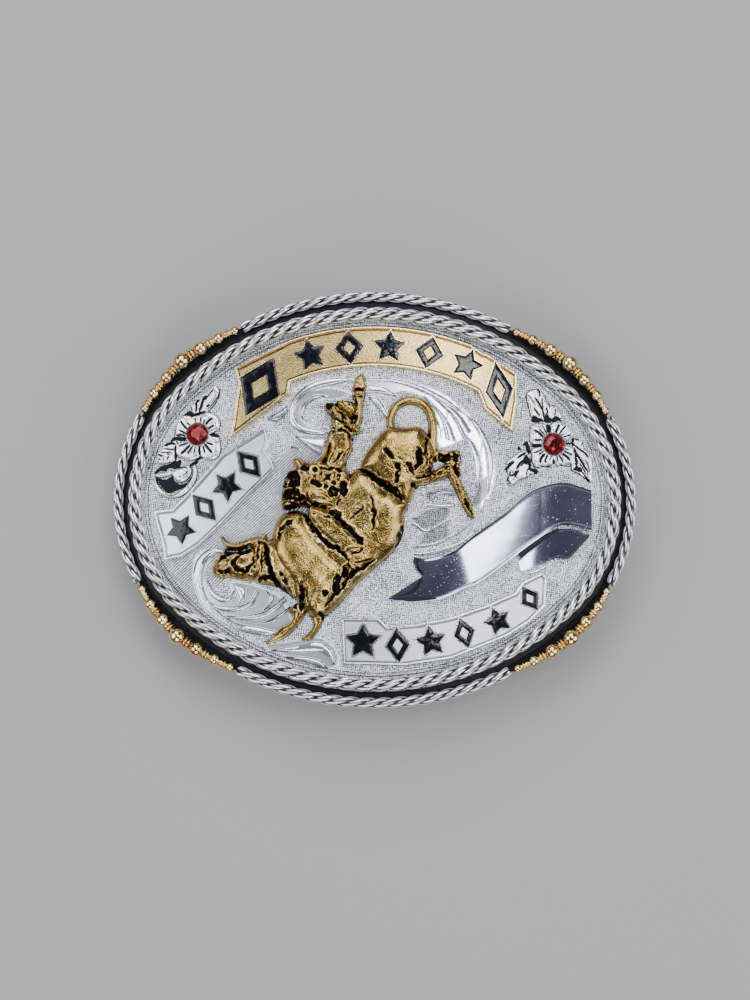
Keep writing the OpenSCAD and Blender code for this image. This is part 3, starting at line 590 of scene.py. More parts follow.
# Painted shade: the silver is painted black deep between the strands and in the flutes.
painted_shade = place.tone("depth").step(0.18, 0.4)
tarnish = place.noise(1.2 * mm, 3).step(0.35, 0.75) * 0.1
feed(
    rope_silver,
    Base_Color=(painted_shade * 0.9 + tarnish).blend((1.0, 1.0, 1.0), (0.010, 0.010, 0.014)),
    Roughness=painted_shade * 0.3 + tarnish + 0.13,
    Normal=place.noise(0.35 * mm).bump(0.05 * mm)
)
inner_r = 1.45 * mm
inner_inset = 4.8 * mm
once = oval_length(inner_inset)
forms, depth = rope_forms(0, once, inner_inset, inner_r, crossings=81, steps=972, flutes=5, closed=True)
make_piece("inner_twisted_rope", forms, rope_silver, "rope_silver", ["inner_rope"], crease=80, depth=depth)

outer_r = 1.1 * mm
outer_inset = 1.1 * mm
outer_step = 0.31 * mm
end_gap = 0.5 * mm
bead_seat = 1.75 * mm
bead_gap = 1.35 * mm
row_turn = np.radians(50.5)
bead_d = 3.5 * mm * np.array([0.54, 0.69, 0.86, 1, 0.8, 0.69, 0.54])
bead_steps = (bead_d[1:] + bead_d[:-1]) / 2 + bead_gap
bead_place = np.concatenate([[0], np.cumsum(bead_steps)])
first_run = np.linspace(0, 80 * mm, 4000)
bead_middle = np.interp(row_turn, round_oval(first_run, bead_seat), first_run)
bead_length = bead_middle + bead_place[3] - bead_place
row_start = bead_length[0] + bead_d[0] / 2 + end_gap
row_stop = bead_length[-1] - bead_d[-1] / 2 - end_gap
row_ends = round_oval(np.array([row_start, row_stop]), bead_seat)
rope_top, rope_side = np.interp(row_ends, round_oval(first_run, outer_inset), first_run)
quarter = oval_length(outer_inset) / 4
rope_lengths = {
    "top": (rope_top, 2 * (quarter - rope_top)),
    "left": (2 * quarter - rope_side, 2 * rope_side),
    "bottom": (2 * quarter + rope_top, 2 * (quarter - rope_top)),
    "right": (-rope_side, 2 * rope_side),
}
for side, (start, length) in rope_lengths.items():
    steps = int(length / outer_step)
    forms, depth = rope_forms(start, length, outer_inset, outer_r, 92, steps, flutes=4, closed=False)
    make_piece("outer_twisted_rope_" + side, forms, rope_silver, "rope_silver", ["outer_rope_" + side],
               crease=80, depth=depth)

# Groove between the ropes. It is filled flat with black enamel, a little uneven where it cooled.
groove_black, place = new_finish("groove_black", {"Specular IOR Level": 0.2})
dips = place.noise(0.9 * mm, 3)
feed(
    groove_black,
    Base_Color=dips.step(0.4, 0.8).blend((0.002, 0.002, 0.004), (0.010, 0.010, 0.016)),
    Roughness=dips * 0.3 + 0.25,
    Normal=dips.bump(0.12 * mm)
)
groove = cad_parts["groove_enamel"]
groove.data.materials.clear()
groove.data.materials.append(groove_black)

# Bead rows. At each corner seven gold-plated beads, largest in the middle, sit on one core with two
# thin discs between each pair, and are soldered over the plate's edge.
disc_off = 0.32 * mm
disc_half = 0.34 * mm
disc_share = 0.45
bead_core_r = 0.6 * mm
bead_rings = 420
bead_sides = 24
bead_gold, place = new_finish("bead_gold", {"Metallic": 1.0})
worn = place.noise(2.2 * mm, 3).step(0.3, 0.75)
# Painted shade: the gold is painted dark where the row is thin, on the core and the discs between the beads.
bead_painted_shade = place.tone("depth").step(0.35, 0.8)
round_gold = worn.blend((0.74, 0.48, 0.17), (0.92, 0.74, 0.42))
feed(
    bead_gold,
    Base_Color=bead_painted_shade.blend(round_gold, (0.06, 0.035, 0.01)),
    Roughness=worn * 0.1 + bead_painted_shade * 0.25 + 0.12,
    Normal=place.noise(0.6 * mm).bump(0.05 * mm)
)


def bead_row(flip_x, flip_y):
    """A form turned about the row's line: its radius is the largest of the core's, the round beads'
    and the discs', each falling to nothing at its own ends."""
    starts, stops = bead_place - bead_d / 2, bead_place + bead_d / 2
    between = (stops[:-1] + starts[1:]) / 2
    disc_r = disc_share * np.minimum(bead_d[1:], bead_d[:-1])
    run = np.linspace(starts[0], stops[-1], bead_rings)
    beads = np.sqrt(np.maximum((bead_d / 2) ** 2 - (run[:, None] - bead_place) ** 2, 0)).max(1)
    discs = np.concatenate([between - disc_off, between + disc_off])
    fall = np.maximum(1 - ((run[:, None] - discs) / disc_half) ** 2, 0) ** 0.35
    rings = (fall * np.concatenate([disc_r, disc_r])).max(1)
    inside = (run > 0) & (run < bead_place[-1])
    radius = np.maximum(np.maximum(beads, rings), bead_core_r * inside)
    wide = np.interp(run, bead_place, bead_d)
    turn = round_oval(bead_length[0] - run, bead_seat)
    x, y = oval(turn, bead_seat - wide / 2)
    core = on_face(x, y, wide / 2 + seat_gap)
    way = unit(np.gradient(core, axis=0))
    side = unit(np.cross(way, face_up(x, y)))
    points = tube(core, side, np.cross(side, way), radius[:, None], bead_sides) * [flip_x, flip_y, 1]
    # How thin the row is at each ring, which the material paints as shade between the beads.
    depth = np.broadcast_to(1 - (2 * radius / wide)[:, None], points.shape[:2])
    return grid(points, wrap_columns=True), depth


corners = {"upper_right": (1, 1), "upper_left": (-1, 1), "lower_left": (-1, -1), "lower_right": (1, -1)}
for corner, flips in corners.items():
    form, depth = bead_row(*flips)
    make_piece("gold_beads_" + corner, [form], bead_gold, "bead_gold", ["beads_" + corner],
               crease=50, depth=depth)

# Banners. Each is a thin plated sheet with a rim raised round its outline, soldered over the ground.
# The top one is gold and its ends are larger slanted panels; the left and lower ones are silver.
floor_high = 0.7
floor_in = 0.8
floor_rows = 9
floor_edge = 0.03
banner_columns = 140
# The rim's section from the sheet's foot to its floor: inset, height, and a tone: 1 on the raised rim and
# -1 in a dark line just inside it.
banner_rim = [
    (0, 0, 0), (0, 0.78, 0), (0.04, 0.9, 1), (0.13, 0.98, 1), (0.24, 1, 1), (0.36, 1, 1), (0.46, 0.97, 1),
    (0.54, 0.88, 1), (0.6, floor_high, -1), (0.74, floor_high, -1),
]


def inset_corners(corners, inset):
    """A closed outline moved inwards: each corner goes along the sum of its two edges' normals."""
    way = np.roll(corners, -1, 0) - corners
    way /= np.linalg.norm(way, axis=1, keepdims=True)
    after = np.stack([-way[:, 1], way[:, 0]], 1)
    before = np.roll(after, 1, 0)
    return corners + inset * (before + after) / (1 + (before * after).sum(1, keepdims=True))


def along_outline(corners, place):
    """Points at places on a closed outline, where 2.5 is half-way from corner 2 to corner 3."""
    first = np.floor(place).astype(int)
    part = (place - first)[:, None]
    return corners[first % len(corners)] * (1 - part) + corners[(first + 1) % len(corners)] * part


def half_run(corners, first, last):
    """Places on an outline from one to another, corner by corner, and the share of the length up to each."""
    places = np.concatenate([[first], np.arange(np.floor(first) + 1, np.ceil(last)), [last]])
    run = run_length(along_outline(corners, places))
    return places, run / run[-1]


def banner_form(corners, left, right):
    """A sheet with a bevelled rim. Each row is a closed section between the outline's lower and upper
    halves, which meet at its left and right ends."""
    corners = np.array(corners, float)
    low_places, low_run = half_run(corners, left, right)
    high_places, high_run = half_run(corners, right, left + len(corners))
    shares = np.concatenate([low_run[1:-1], 1 - high_run[1:-1], np.linspace(0, 1, banner_columns)])
    shares = np.unique(shares.round(5))
    low = np.interp(shares, low_run, low_places)
    high = np.interp(1 - shares, high_run, high_places)
    section = [(*row, 0) for row in banner_rim]
    floor_shares = np.linspace(floor_edge, 1 - floor_edge, floor_rows)
    section += [(floor_in, floor_high, 0, share) for share in floor_shares]
    section += [(*row, 1) for row in banner_rim[::-1]]
    section += [(0, 0, 0, share) for share in (0.75, 0.5, 0.25)]
    columns = []
    for inset, height, tone, share in section:
        ring = inset_corners(corners, inset)
        flat = along_outline(ring, low) * (1 - share) + along_outline(ring, high) * share
        columns.append(over_face(flat, height, seat_gap))
    points = np.stack(columns, 1)
    tones = [tone for inset, height, tone, share in section]
    return grid(points, wrap_columns=True), np.broadcast_to(tones, points.shape[:2])


def arc(centre, radius, first, last, count):
    """Points on an arc about a centre, from one direction in degrees to another."""
    a = np.radians(np.linspace(first, last, count))[:, None]
    return centre + radius * np.concatenate([np.cos(a), np.sin(a)], 1)


ring_centre = np.array([0, -20.2])
ring_low, ring_high = 47.2, 55.5
top_outline = np.concatenate([
    [(-19.2, 31.6), (-28.9, 26.9), (-28.1, 23.6), (-29.6, 12.3), (-17.7, 21.3)],
    arc(ring_centre, ring_low, 111.6, 63.6, 29),
    [(21.8, 20.2), (22.4, 18.4), (28, 13.9), (29.1, 20.4), (29.1, 26), (23.1, 29.8), (22, 30.1),
     (19.5, 31.8)],
    arc(ring_centre, ring_high, 72, 108.5, 25),
])
left_outline = [
    (-45.5, -2.6), (-44.4, -6.2), (-43.3, -9.7), (-43, -12.8), (-39.2, -12), (-35.6, -9.7), (-31.4, -5.7),
    (-25.4, 0.7), (-20.2, 5.8), (-20.9, 7.8), (-22.3, 9.6), (-21.7, 11.7), (-22.2, 14.2), (-23, 14.2),
    (-31.2, 9.1), (-35.4, 4.3), (-38.6, 0.7), (-41.5, -2.2),
]
lower_outline = [
    (-6.7, -24.3), (-6.3, -33.9), (6.4, -34.1), (15.7, -32.6), (26.9, -28.1), (31.6, -25.1), (34.8, -21.8),
    (35.1, -16.3), (34.3, -14.9), (30, -17), (28.5, -19.2), (22.8, -21.7), (15.7, -24.2), (8.6, -25.6),
    (2.6, -26.1), (0.7, -24.3),
]


def banner_marks(place):
    """The wires that both metals of the banners use: raised rim, dark line inside it and stain."""
    tone = place.tone("rim")
    return tone.step(0.1, 0.5), tone.step(-0.1, -0.6), place.noise(3 * mm, 3)


banner_gold, place = new_finish("banner_gold", {"Metallic": 1.0})
rim, line, stain = banner_marks(place)
floor_gold = stain.step(0.3, 0.7).blend((0.66, 0.48, 0.18), (0.77, 0.59, 0.25))
sheet_gold = rim.blend(floor_gold, (0.95, 0.82, 0.47))
feed(
    banner_gold,
    Base_Color=(1 - line).blend((0.16, 0.09, 0.03), sheet_gold),
    Roughness=stain * 0.1 - rim * 0.08 + 0.2,
    Normal=place.noise(0.3 * mm).bump(0.05 * mm)
)
banner_silver, place = new_finish("banner_silver", {"Metallic": 1.0})
rim, line, stain = banner_marks(place)
sheet_silver = stain.blend((0.82, 0.82, 0.88), (0.95, 0.95, 0.98))
feed(
    banner_silver,
    Base_Color=line.blend(sheet_silver, (0.20, 0.20, 0.25)),
    Roughness=stain * 0.1 - rim * 0.16 + 0.3,
    Normal=place.noise(0.3 * mm).bump(0.04 * mm)
)

# Banner ornaments. Stars and open lozenges of black enamel lie on the banners' floors, a little domed,
# and each has a thin raised line of the banner's metal round it.
enamel_low = 0.85 * mm
star_waist = 0.52
lozenge_hole = 0.42
lozenge_shape = np.array([1.55, 2.2])
outline_step = 0.125
# Profiles from the foot over the top, as shares of the outline's size and heights.
star_profile = [
    (0, 0), (0.5, 0), (1, 0), (1, 0.16), (0.97, 0.21), (0.92, 0.23), (0.6, 0.245), (0.3, 0.25), (0, 0.25),
]
lozenge_profile = [
    (lozenge_hole, 0), (1, 0), (1, 0.16), (0.97, 0.21), (0.9, 0.24), (0.7, 0.25), (0.52, 0.24), (0.45, 0.21),
    (lozenge_hole, 0.16),
]
# The raised line's section: place from its near to its far side, and height.
fence_near, fence_far = 0.06, 0.4
fence_section = [(0, -0.2), (0, 0.06), (0.25, 0.16), (0.75, 0.16), (1, 0.06), (1, -0.2)]


def ornament_corners(kind, size):
    """A star's ten corners by its radius, every second one drawn in to its waist, or a lozenge's four by its
    width and height."""
    if kind == "star":
        a = np.radians(90 + 36 * np.arange(10))
        reach = size * np.where(np.arange(10) % 2, star_waist, 1)
        return np.stack([reach * np.cos(a), reach * np.sin(a)], 1)
    x, y = size[0] / 2, size[1] / 2
    return np.array([(-x, 0), (0, -y), (x, 0), (0, y)])


def turned(points, degrees):
    """Pairs of x and y turned about the origin, by the cosine and the sine of the angle."""
    a = np.radians(degrees)
    return points @ np.array([[np.cos(a), np.sin(a)], [-np.sin(a), np.cos(a)]])


def enamel_form(kind, x, y, size, degrees):
    """A domed star or an open lozenge: rings that are one outline at several shares of its size, each at
    its own height."""
    corners = ornament_corners(kind, size)
    outline = turned(along_outline(corners, np.arange(0, len(corners), outline_step)), degrees)
    share, height = np.array(star_profile if kind == "star" else lozenge_profile).T
    points = over_face(np.array([x, y]) + share[:, None, None] * outline, height[:, None], enamel_low)
    return grid(points, wrap_rows=share[0] > 0, wrap_columns=True)


def fence(kind, x, y, size, degrees):
    """A thin raised line of the banner's own metal: rings between an ornament's outline moved out a little
    and moved out further. Also gives 1 on its top."""
    corners = ornament_corners(kind, size)
    places = np.arange(0, len(corners), outline_step)
    near, far = (along_outline(inset_corners(corners, -out), places) for out in (fence_near, fence_far))
    share, height = np.array(fence_section).T[:, :, None]
    outline = turned(near * (1 - share[..., None]) + far * share[..., None], degrees)
    points = over_face(np.array([x, y]) + outline, height, enamel_low)
    tone = np.broadcast_to((height > 0.1).astype(float), points.shape[:2])
    return grid(points, wrap_rows=True, wrap_columns=True), tone


banner_enamel, place = new_finish("banner_enamel", {"Specular IOR Level": 0.45})
ripple = place.noise(1.4 * mm, 3)
feed(
    banner_enamel,
    Base_Color=ripple.step(0.45, 0.8).blend((0.002, 0.002, 0.005), (0.010, 0.012, 0.024)),
    Roughness=ripple * 0.15 + 0.06,
    Normal=ripple.bump(0.1 * mm)
)
# Each ornament: kind, x, y, a star's radius or a lozenge's width and height, turn in degrees.
top_row = [("lozenge", -23.6, 22.9, (8.8, 13), -25), ("lozenge", 25.4, 22.4, (5.6, 11.5), 8)]
for direction, kind in [(105, "star"), (96, "lozenge"), (86.8, "star"), (77.6, "lozenge"), (68.6, "star")]:
    x, y = arc(ring_centre, (ring_low + ring_high) / 2, direction, direction, 1)[0]
    top_row.append((kind, x, y, 3.3 if kind == "star" else (5.8, 6.6), direction - 90))
left_row = [
    ("star", -39.6, -6.4, 3.2, 42), ("lozenge", -34.8, -2, (4.6, 7.2), 42),
    ("star", -30.2, 2.4, 3.2, 42), ("lozenge", -25.7, 6.9, (4.6, 7.2), 42),
]
lower_row = [
    ("star", -2.2, -29.2, 3.6, 0), ("lozenge", 4.8, -29.9, 3.1 * lozenge_shape, 5),
    ("star", 11.5, -29.1, 3.2, 10), ("lozenge", 18.2, -27.4, 2.8 * lozenge_shape, 17),
    ("star", 25, -24.9, 2.9, 24), ("lozenge", 31.6, -20.3, 2.5 * lozenge_shape, 34),
]
# Each banner: side, outline, the places on it of its left and right ends, ornaments, metal, slot.
for side, outline, start, stop, row, metal, slot in [
    ("top", top_outline, 2.5, 37, top_row, banner_gold, "banner_gold"),
    ("left", left_outline, 1.5, 10.5, left_row, banner_silver, "banner_silver"),
    ("lower", lower_outline, 0.5, 7, lower_row, banner_silver, "banner_silver"),
]:
    forms, rim = split_tones([banner_form(outline, start, stop)] + [fence(*ornament) for ornament in row])
    make_piece(side + "_banner_sheet", forms, metal, slot, [side + "_banner"], crease=28, rim=rim)
    ornaments = [enamel_form(*ornament) for ornament in row]
    make_piece(side + "_banner_ornaments", ornaments, banner_enamel, "banner_enamel",
               [side + "_banner_enamel"], crease=60)

# Ribbon. A mirror-polished strip in a long wave, with a swallow-tailed left end and a tail folded
# under its right end; stamped, plated and soldered down.
bend_from = 0.72
cut_in = 0.06
cut_w = 0.012
ribbon_high = 0.86
cross_rise = 0.16
fold_x = 17.4
fold_lean = 2.6
fold_sharp = 1.6
fold_slope = 0.055
rise_from, rise_to = 34, 46
rise_slope = 0.012
rim_high = 1.09
rim_share = 0.035
tail_high = 0.5
tail_rise = 0.1
tail_fall = 0.16
tail_end = 29.5


def strip(upper, lower, height, count, shares, end=None):
    """A strip between two edges. Its height is a function of the place in x and the share across it,
    an end line can bend its last part, and it goes down to the seat at both edges and both ends. Also
    gives how dark each point is: a dark line a little in from each edge."""
    upper, lower = resample(upper, count), resample(lower, count)
    t = np.array(shares)
    flat = upper[:, None] * (1 - t[:, None]) + lower[:, None] * t[:, None]
    s = np.linspace(0, 1, count)[:, None, None]
    if end is not None:
        run = run_length(end)
        bend = np.stack([np.interp(t, run / run[-1], column) for column in np.transpose(end)], 1) - flat[-1]
        flat = flat + ramp(s, bend_from, 1) ** 1.5 * bend
    top = height(flat[..., 0], t)
    rows = np.concatenate([top[:1] * 0, top, top[-1:] * 0])
    flat = np.concatenate([flat[:1], flat, flat[-1:]])
    rows = np.concatenate([rows[:, :1] * 0, rows, rows[:, -1:] * 0, rows[:, ::-1] * 0], axis=1)
    flat = np.concatenate([flat[:, :1], flat, flat[:, -1:], flat[:, ::-1]], axis=1)
    points = over_face(flat, rows, seat_gap)
    line = np.exp(-((np.minimum(t, 1 - t) - cut_in) / cut_w) ** 2)
    line = np.concatenate([line[:1] * 0, line, line[:1] * 0, line * 0])
    return grid(points, wrap_columns=True), np.broadcast_to(line, points.shape[:2])


def ribbon_height(x, t):
    """Flat, a little higher along the lower edge. Left of the slanted fold it slopes down to the swallow
    tail, round a soft corner: the logarithm of one plus the exponential of the way past the fold. Near its
    right end it rises slightly. Both edges stay up as a rim, which is lower at the swallow tail."""
    fold = np.log1p(np.exp((fold_x + fold_lean * t - x) * fold_sharp)) / fold_sharp
    rise = rise_slope * np.clip(x - rise_from, 0, rise_to - rise_from)
    wave = ribbon_high + cross_rise * t - fold_slope * fold + rise
    edge = np.minimum(t, 1 - t)
    rim_left = np.maximum(ramp(x, 6, 20), 0.2)
    return wave + (rim_high - wave) * np.exp(-(edge / rim_share) ** 2) * rim_left


def tail_height(x, t):
    """Low and nearly flat: it falls as a square over the last 4 mm towards its left end."""
    return tail_high + tail_rise * t - tail_fall * ramp(x, tail_end + 4, tail_end) ** 2


ribbon_silver, place = new_finish("ribbon_silver", {"Metallic": 1.0})
smear = place.noise(7 * mm)
specks = place.noise(0.35 * mm, 1).step(0.70, 0.80)
line = place.tone("dark")
# The mirror's colour is tinted dark blue: a painted blue reflection over the silver's own colour.
mirror_with_painted_blue = smear.step(0.35, 0.65).blend((0.29, 0.30, 0.45), (0.40, 0.40, 0.54))
feed(
    ribbon_silver,
    Base_Color=line.blend(specks.blend(mirror_with_painted_blue, (0.8, 0.8, 0.88)), (0.02, 0.02, 0.03)),
    Roughness=smear * 0.05 + specks * 0.35 + line * 0.3 + 0.06,
    Normal=place.noise(9 * mm).bump(0.03 * mm)
)
ribbon_upper = [
    (44.5, 2.1), (39.2, 3.5), (34.8, 2.9), (30.9, 1), (26.5, -2.9), (20.2, -7.5), (16.1, -10.8),
    (11.2, -12.3), (8, -12.1),
]
ribbon_lower = [
    (44.5, -6.1), (40.5, -5.2), (37.3, -5.5), (33.8, -7.7), (29.4, -10.9), (25.1, -14.2), (21, -17.1),
    (16.7, -19.1), (12.2, -20.8), (3.7, -21),
]
ribbon_end = [(8, -12.1), (7.8, -12.9), (8.4, -14.5), (9.8, -15.9), (8.6, -16.7), (2.7, -20.6), (3.7, -21)]
tail_upper = [(44.1, -6.9), (41, -6), (37.4, -6.2), (34.2, -8.6), (31.2, -11.2), (29.4, -12.9)]
tail_lower = [(44.1, -7.5), (42.2, -9.6), (39.8, -12), (37.7, -11.8), (34.4, -13.1), (29.9, -14.8)]
fine_edge = [0, 0.012, 0.025, 0.04, 0.05, 0.06, 0.07, 0.08, 0.1]
across_ribbon = fine_edge + list(np.linspace(0.13, 0.87, 22)) + [1 - share for share in fine_edge[::-1]]
shapes = [
    strip(ribbon_upper, ribbon_lower, ribbon_height, 200, across_ribbon, end=ribbon_end),
    strip(tail_upper, tail_lower, tail_height, 60, across_ribbon),
]
# Black strips under the fold and in the swallow tail, each a painted shadow: one edge, other edge, height of
# the foot.
shadow_strips = [
    ([(29.2, -11.2), (33, -8.2), (37.5, -5.8)], [(29.9, -12.2), (33.8, -9.2), (37.9, -6.3)], 0.62),
    ([(40, -7.6), (42, -7), (44, -6.9)], [(40.1, -7.9), (42, -7.7), (43.9, -7.5)], 0.55),
    ([(3.8, -20.5), (8, -20.1), (12.6, -20.2)], [(3.8, -20.8), (8, -20.9), (12.4, -20.5)], 0.97),
    ([(4.6, -20.1), (7.6, -18.7), (9.4, -16.4)], [(4.4, -20.2), (7.9, -19.2), (9.8, -16.9)], 0.95),
    ([(8.6, -12.5), (8.5, -14), (9.6, -15.6)], [(8.9, -12.5), (9, -14), (10, -15.4)], 0.92),
]
for one_edge, other_edge, base in shadow_strips:
    # Dark all over: a painted shadow.
    form, tone = leaf(one_edge, other_edge, base, thick=0.35)
    shapes.append((form, np.ones(tone.shape)))
forms, dark = split_tones(shapes)
make_piece("waved_ribbon", forms, ribbon_silver, "ribbon_silver", ["ribbon"], crease=50, dark=dark)

# Flowers. Cast silver petals and leaves, their cut strokes and hollows filled with black, and a low
# collar that holds the stone; soldered over the ground. The left one ends in a curl.
below = -0.35
flower_cell = 0.12
cut_depth = 0.35
cut_foot = 0.45
seat_r = 2.3
wall_reach = 0.5
wall_w = 0.22


def line_distance(x, y, path):
    """Distance to an open path, and the share along it of the nearest spot."""
    a, b = path[:-1], path[1:]
    edge = b - a
    px, py = x[..., None] - a[:, 0], y[..., None] - a[:, 1]
    t = np.clip((px * edge[:, 0] + py * edge[:, 1]) / np.maximum((edge ** 2).sum(1), 1e-9), 0, 1)
    gap = np.hypot(px - t * edge[:, 0], py - t * edge[:, 1])
    nearest = gap.argmin(-1)
    part = np.take_along_axis(t, nearest[..., None], -1)[..., 0]
    return gap.min(-1), (nearest + part) / len(a)


def near_part(x, y, points, margin):
    """The rows and columns of the sheet that lie within a margin of some points."""
    low, high = points.min(0) - margin, points.max(0) + margin
    rows = slice(*np.searchsorted(y[:, 0], [low[1], high[1]]))
    columns = slice(*np.searchsorted(x[0], [low[0], high[0]]))
    return rows, columns


def inside_outline(x, y, points, margin):
    """The rows and columns of the sheet near a smooth closed outline, and the signed distance there."""
    outline = smooth_path(points, 6 * len(points), closed=True)
    part = near_part(x, y, outline, margin)
    return part, signed_distance(x[part], y[part], outline)


def raise_forms(x, y, outlined):
    """The highest of some rounded forms over the sheet: each has the level of its edge, the rise of its
    middle, the distance over which it rounds as a quarter circle, and its outline, beyond which a steep
    wall goes down."""
    sheet = np.full(x.shape, below)
    for level, rise, rounding, points in outlined:
        part, inside = inside_outline(x, y, points, 0.6)
        dome = np.sqrt(1 - (1 - ramp(inside, 0, rounding)) ** 2)
        wall = np.clip(inside, -wall_reach, 0) * (level - below) / wall_w
        sheet[part] = np.maximum(sheet[part], level + rise * dome + wall)
    return sheet


def sheet_form(x, y, sheet, tone):
    """A closed form of the sheet's cells that stand over its lowest level, with a flat underside and a
    wall round them, and the tone of each of its points."""
    kept = sheet[:-1, :-1]
    for shifted in (sheet[1:, :-1], sheet[:-1, 1:], sheet[1:, 1:]):
        kept = np.maximum(kept, shifted)
    rows, columns = np.nonzero(kept > below + 0.02)
    wide = sheet.shape[1]
    corner = rows * wide + columns
    top = np.stack([corner, corner + 1, corner + wide + 1, corner + wide], 1)
    used, top = np.unique(top, return_inverse=True)
    top = top.reshape(-1, 4)
    flat = np.stack([x.ravel()[used], y.ravel()[used]], 1)
    upper = over_face(flat, sheet.ravel()[used])
    lower = over_face(flat, below - 0.1)
    pairs = np.concatenate([top[:, [i, (i + 1) % 4]] for i in range(4)])
    keys = np.sort(pairs, 1) @ [len(used), 1]
    values, counts = np.unique(keys, return_counts=True)
    edge = pairs[np.isin(keys, values[counts == 1])]
    count = len(used)
    skirt = np.stack([edge[:, 1], edge[:, 0], edge[:, 0] + count, edge[:, 1] + count], 1)
    faces = np.concatenate([top, skirt, top[:, ::-1] + count])
    return (np.concatenate([upper, lower]), faces), np.concatenate([tone.ravel()[used], np.ones(count)])


def flower_form(stone, low, high, outlined, pools, strokes):
    """A flower's sheet: rounded forms, and black cuts. A cut is a pool by its outline or a stroke by its
    half width and path; it sinks into the forms and lies just over the plate beside them. The sheet is
    flat under the stone, and painted dark as shade where it is low."""
    x, y = np.meshgrid(np.arange(low[0], high[0], flower_cell), np.arange(low[1], high[1], flower_cell))
    sheet = raise_forms(x, y, outlined)
    blend = flower_cell / 2
    black = np.zeros(x.shape)
    for points in pools:
        part, inside = inside_outline(x, y, points, 0.4)
        black[part] = np.maximum(black[part], ramp(inside, -blend, blend))
    for half, points in strokes:
        path = smooth_path(points, 6 * len(points))
        part = near_part(x, y, path, 1)
        gap, share = line_distance(x[part], y[part], path)
        taper = np.minimum(0.4 + 4 * np.minimum(share, 1 - share), 1)
        black[part] = np.maximum(black[part], ramp(half * taper - gap, -blend, blend))
    sheet = np.maximum(sheet - cut_depth * black, below + cut_foot * black)
    under_stone = np.hypot(x - stone[0], y - stone[1]) < seat_r
    sheet = np.where(under_stone, np.minimum(sheet, 0.05), sheet)
    # Black in the cuts, and painted shade where the sheet is low.
    return sheet_form(x, y, sheet, np.maximum(black, ramp(sheet, 0.55, 0.15)))


def collar_form(x, y):
    """A ring round the stone's place, from a closed profile of radii and heights. It is half dark."""
    profile = [(2.26, 0), (2.46, 0), (2.5, 0.8), (2.46, 0.98), (2.36, 1.05), (2.26, 1.0)]
    radius, height = np.array(profile).T[:, :, None]
    a = once_round(64)
    flat = np.stack([x + radius * np.cos(a), y + radius * np.sin(a)], -1)
    points = over_face(flat, height, seat_gap)
    return grid(points, wrap_rows=True, wrap_columns=True), np.full(points.shape[:2], 0.5)


left_stone = (-36.5, 13.2)
right_stone = (36.7, 11.5)
# Petals, leaves and curl: level of the edge, rise of the middle, distance over which it rounds, outline.
left_forms = [
    (0.45, 0.45, 1, [
        (-36, 14), (-35.9, 16.6), (-35.2, 17.5), (-34, 17.6), (-32.6, 16.9), (-32, 15.6), (-32.2, 14.3),
        (-33.2, 13.6), (-34.6, 13)]),
    (0.4, 0.45, 1, [
        (-35, 13), (-33, 13.2), (-32.1, 12.4), (-31.8, 10.8), (-31.9, 9.4), (-32.5, 8.3), (-34, 7.9),
        (-35.3, 8.2), (-36, 9), (-36, 11)]),
    (0.45, 0.45, 1, [
        (-36.5, 11), (-36, 8.9), (-36.8, 8.2), (-38, 7.9), (-39.6, 8.3), (-40.9, 9.1), (-41.1, 10.4),
        (-40.8, 11.3), (-39.6, 11.8), (-38, 12.4)]),
    (0.4, 0.45, 1, [
        (-38, 12.6), (-40.2, 12.8), (-41.1, 13.2), (-41.3, 14.6), (-40.7, 16.2), (-40.1, 17.1), (-38.7, 17.2),
        (-37.8, 16.7), (-37, 15)]),
    (0.5, 0.4, 0.8, [(-38.1, 16.5), (-37.3, 17), (-36, 17.1), (-35.6, 16.6), (-36, 14.5), (-37.4, 14.5)]),
    (0.25, 0.4, 0.9, [
        (-38.3, 17.2), (-38.5, 18.9), (-37.8, 19.9), (-36.6, 20.7), (-35.4, 22), (-33.9, 23.1), (-32.9, 23.3),
        (-32.1, 22), (-32.8, 20), (-34.3, 18.2), (-35.4, 17.3)]),
    (0.25, 0.4, 0.6, [
        (-41.1, 8.2), (-42.6, 7.5), (-44.4, 7.2), (-45, 8), (-45.1, 9.5), (-44.3, 10.2), (-43.8, 11),
        (-42.6, 11.7), (-41, 11.8)]),
    (0.2, 0.5, 0.5, [
        (-41.9, 5.2), (-42.1, 5.9), (-43.2, 5.6), (-45.3, 5.1), (-44.9, 4.4), (-43.3, 4.5), (-42.3, 4.8)]),
    (0.4, 0.6, 0.9, [
        (-41.9, 5.2), (-41.4, 6), (-40.4, 6.4), (-39, 6.8), (-38.1, 6.6), (-37.8, 5.4), (-38.5, 4.1),
        (-39.8, 3.3), (-40.9, 3.6), (-41.5, 4.3)]),
    (0.2, 0.5, 0.5, [
        (-45.7, 5), (-45.6, 3.2), (-44.9, 1.6), (-43.4, 0.5), (-41.8, 0.1), (-39.8, 0.5), (-38.1, 1.7),
        (-37, 3.4), (-36.6, 5.2), (-36.8, 6.8), (-37.5, 6.6), (-37.5, 5), (-38.1, 3.6), (-39.2, 2.3),
        (-40.6, 1.4), (-42.4, 1.1), (-43.9, 1.8), (-44.8, 3.2), (-45.1, 4.9)]),
]
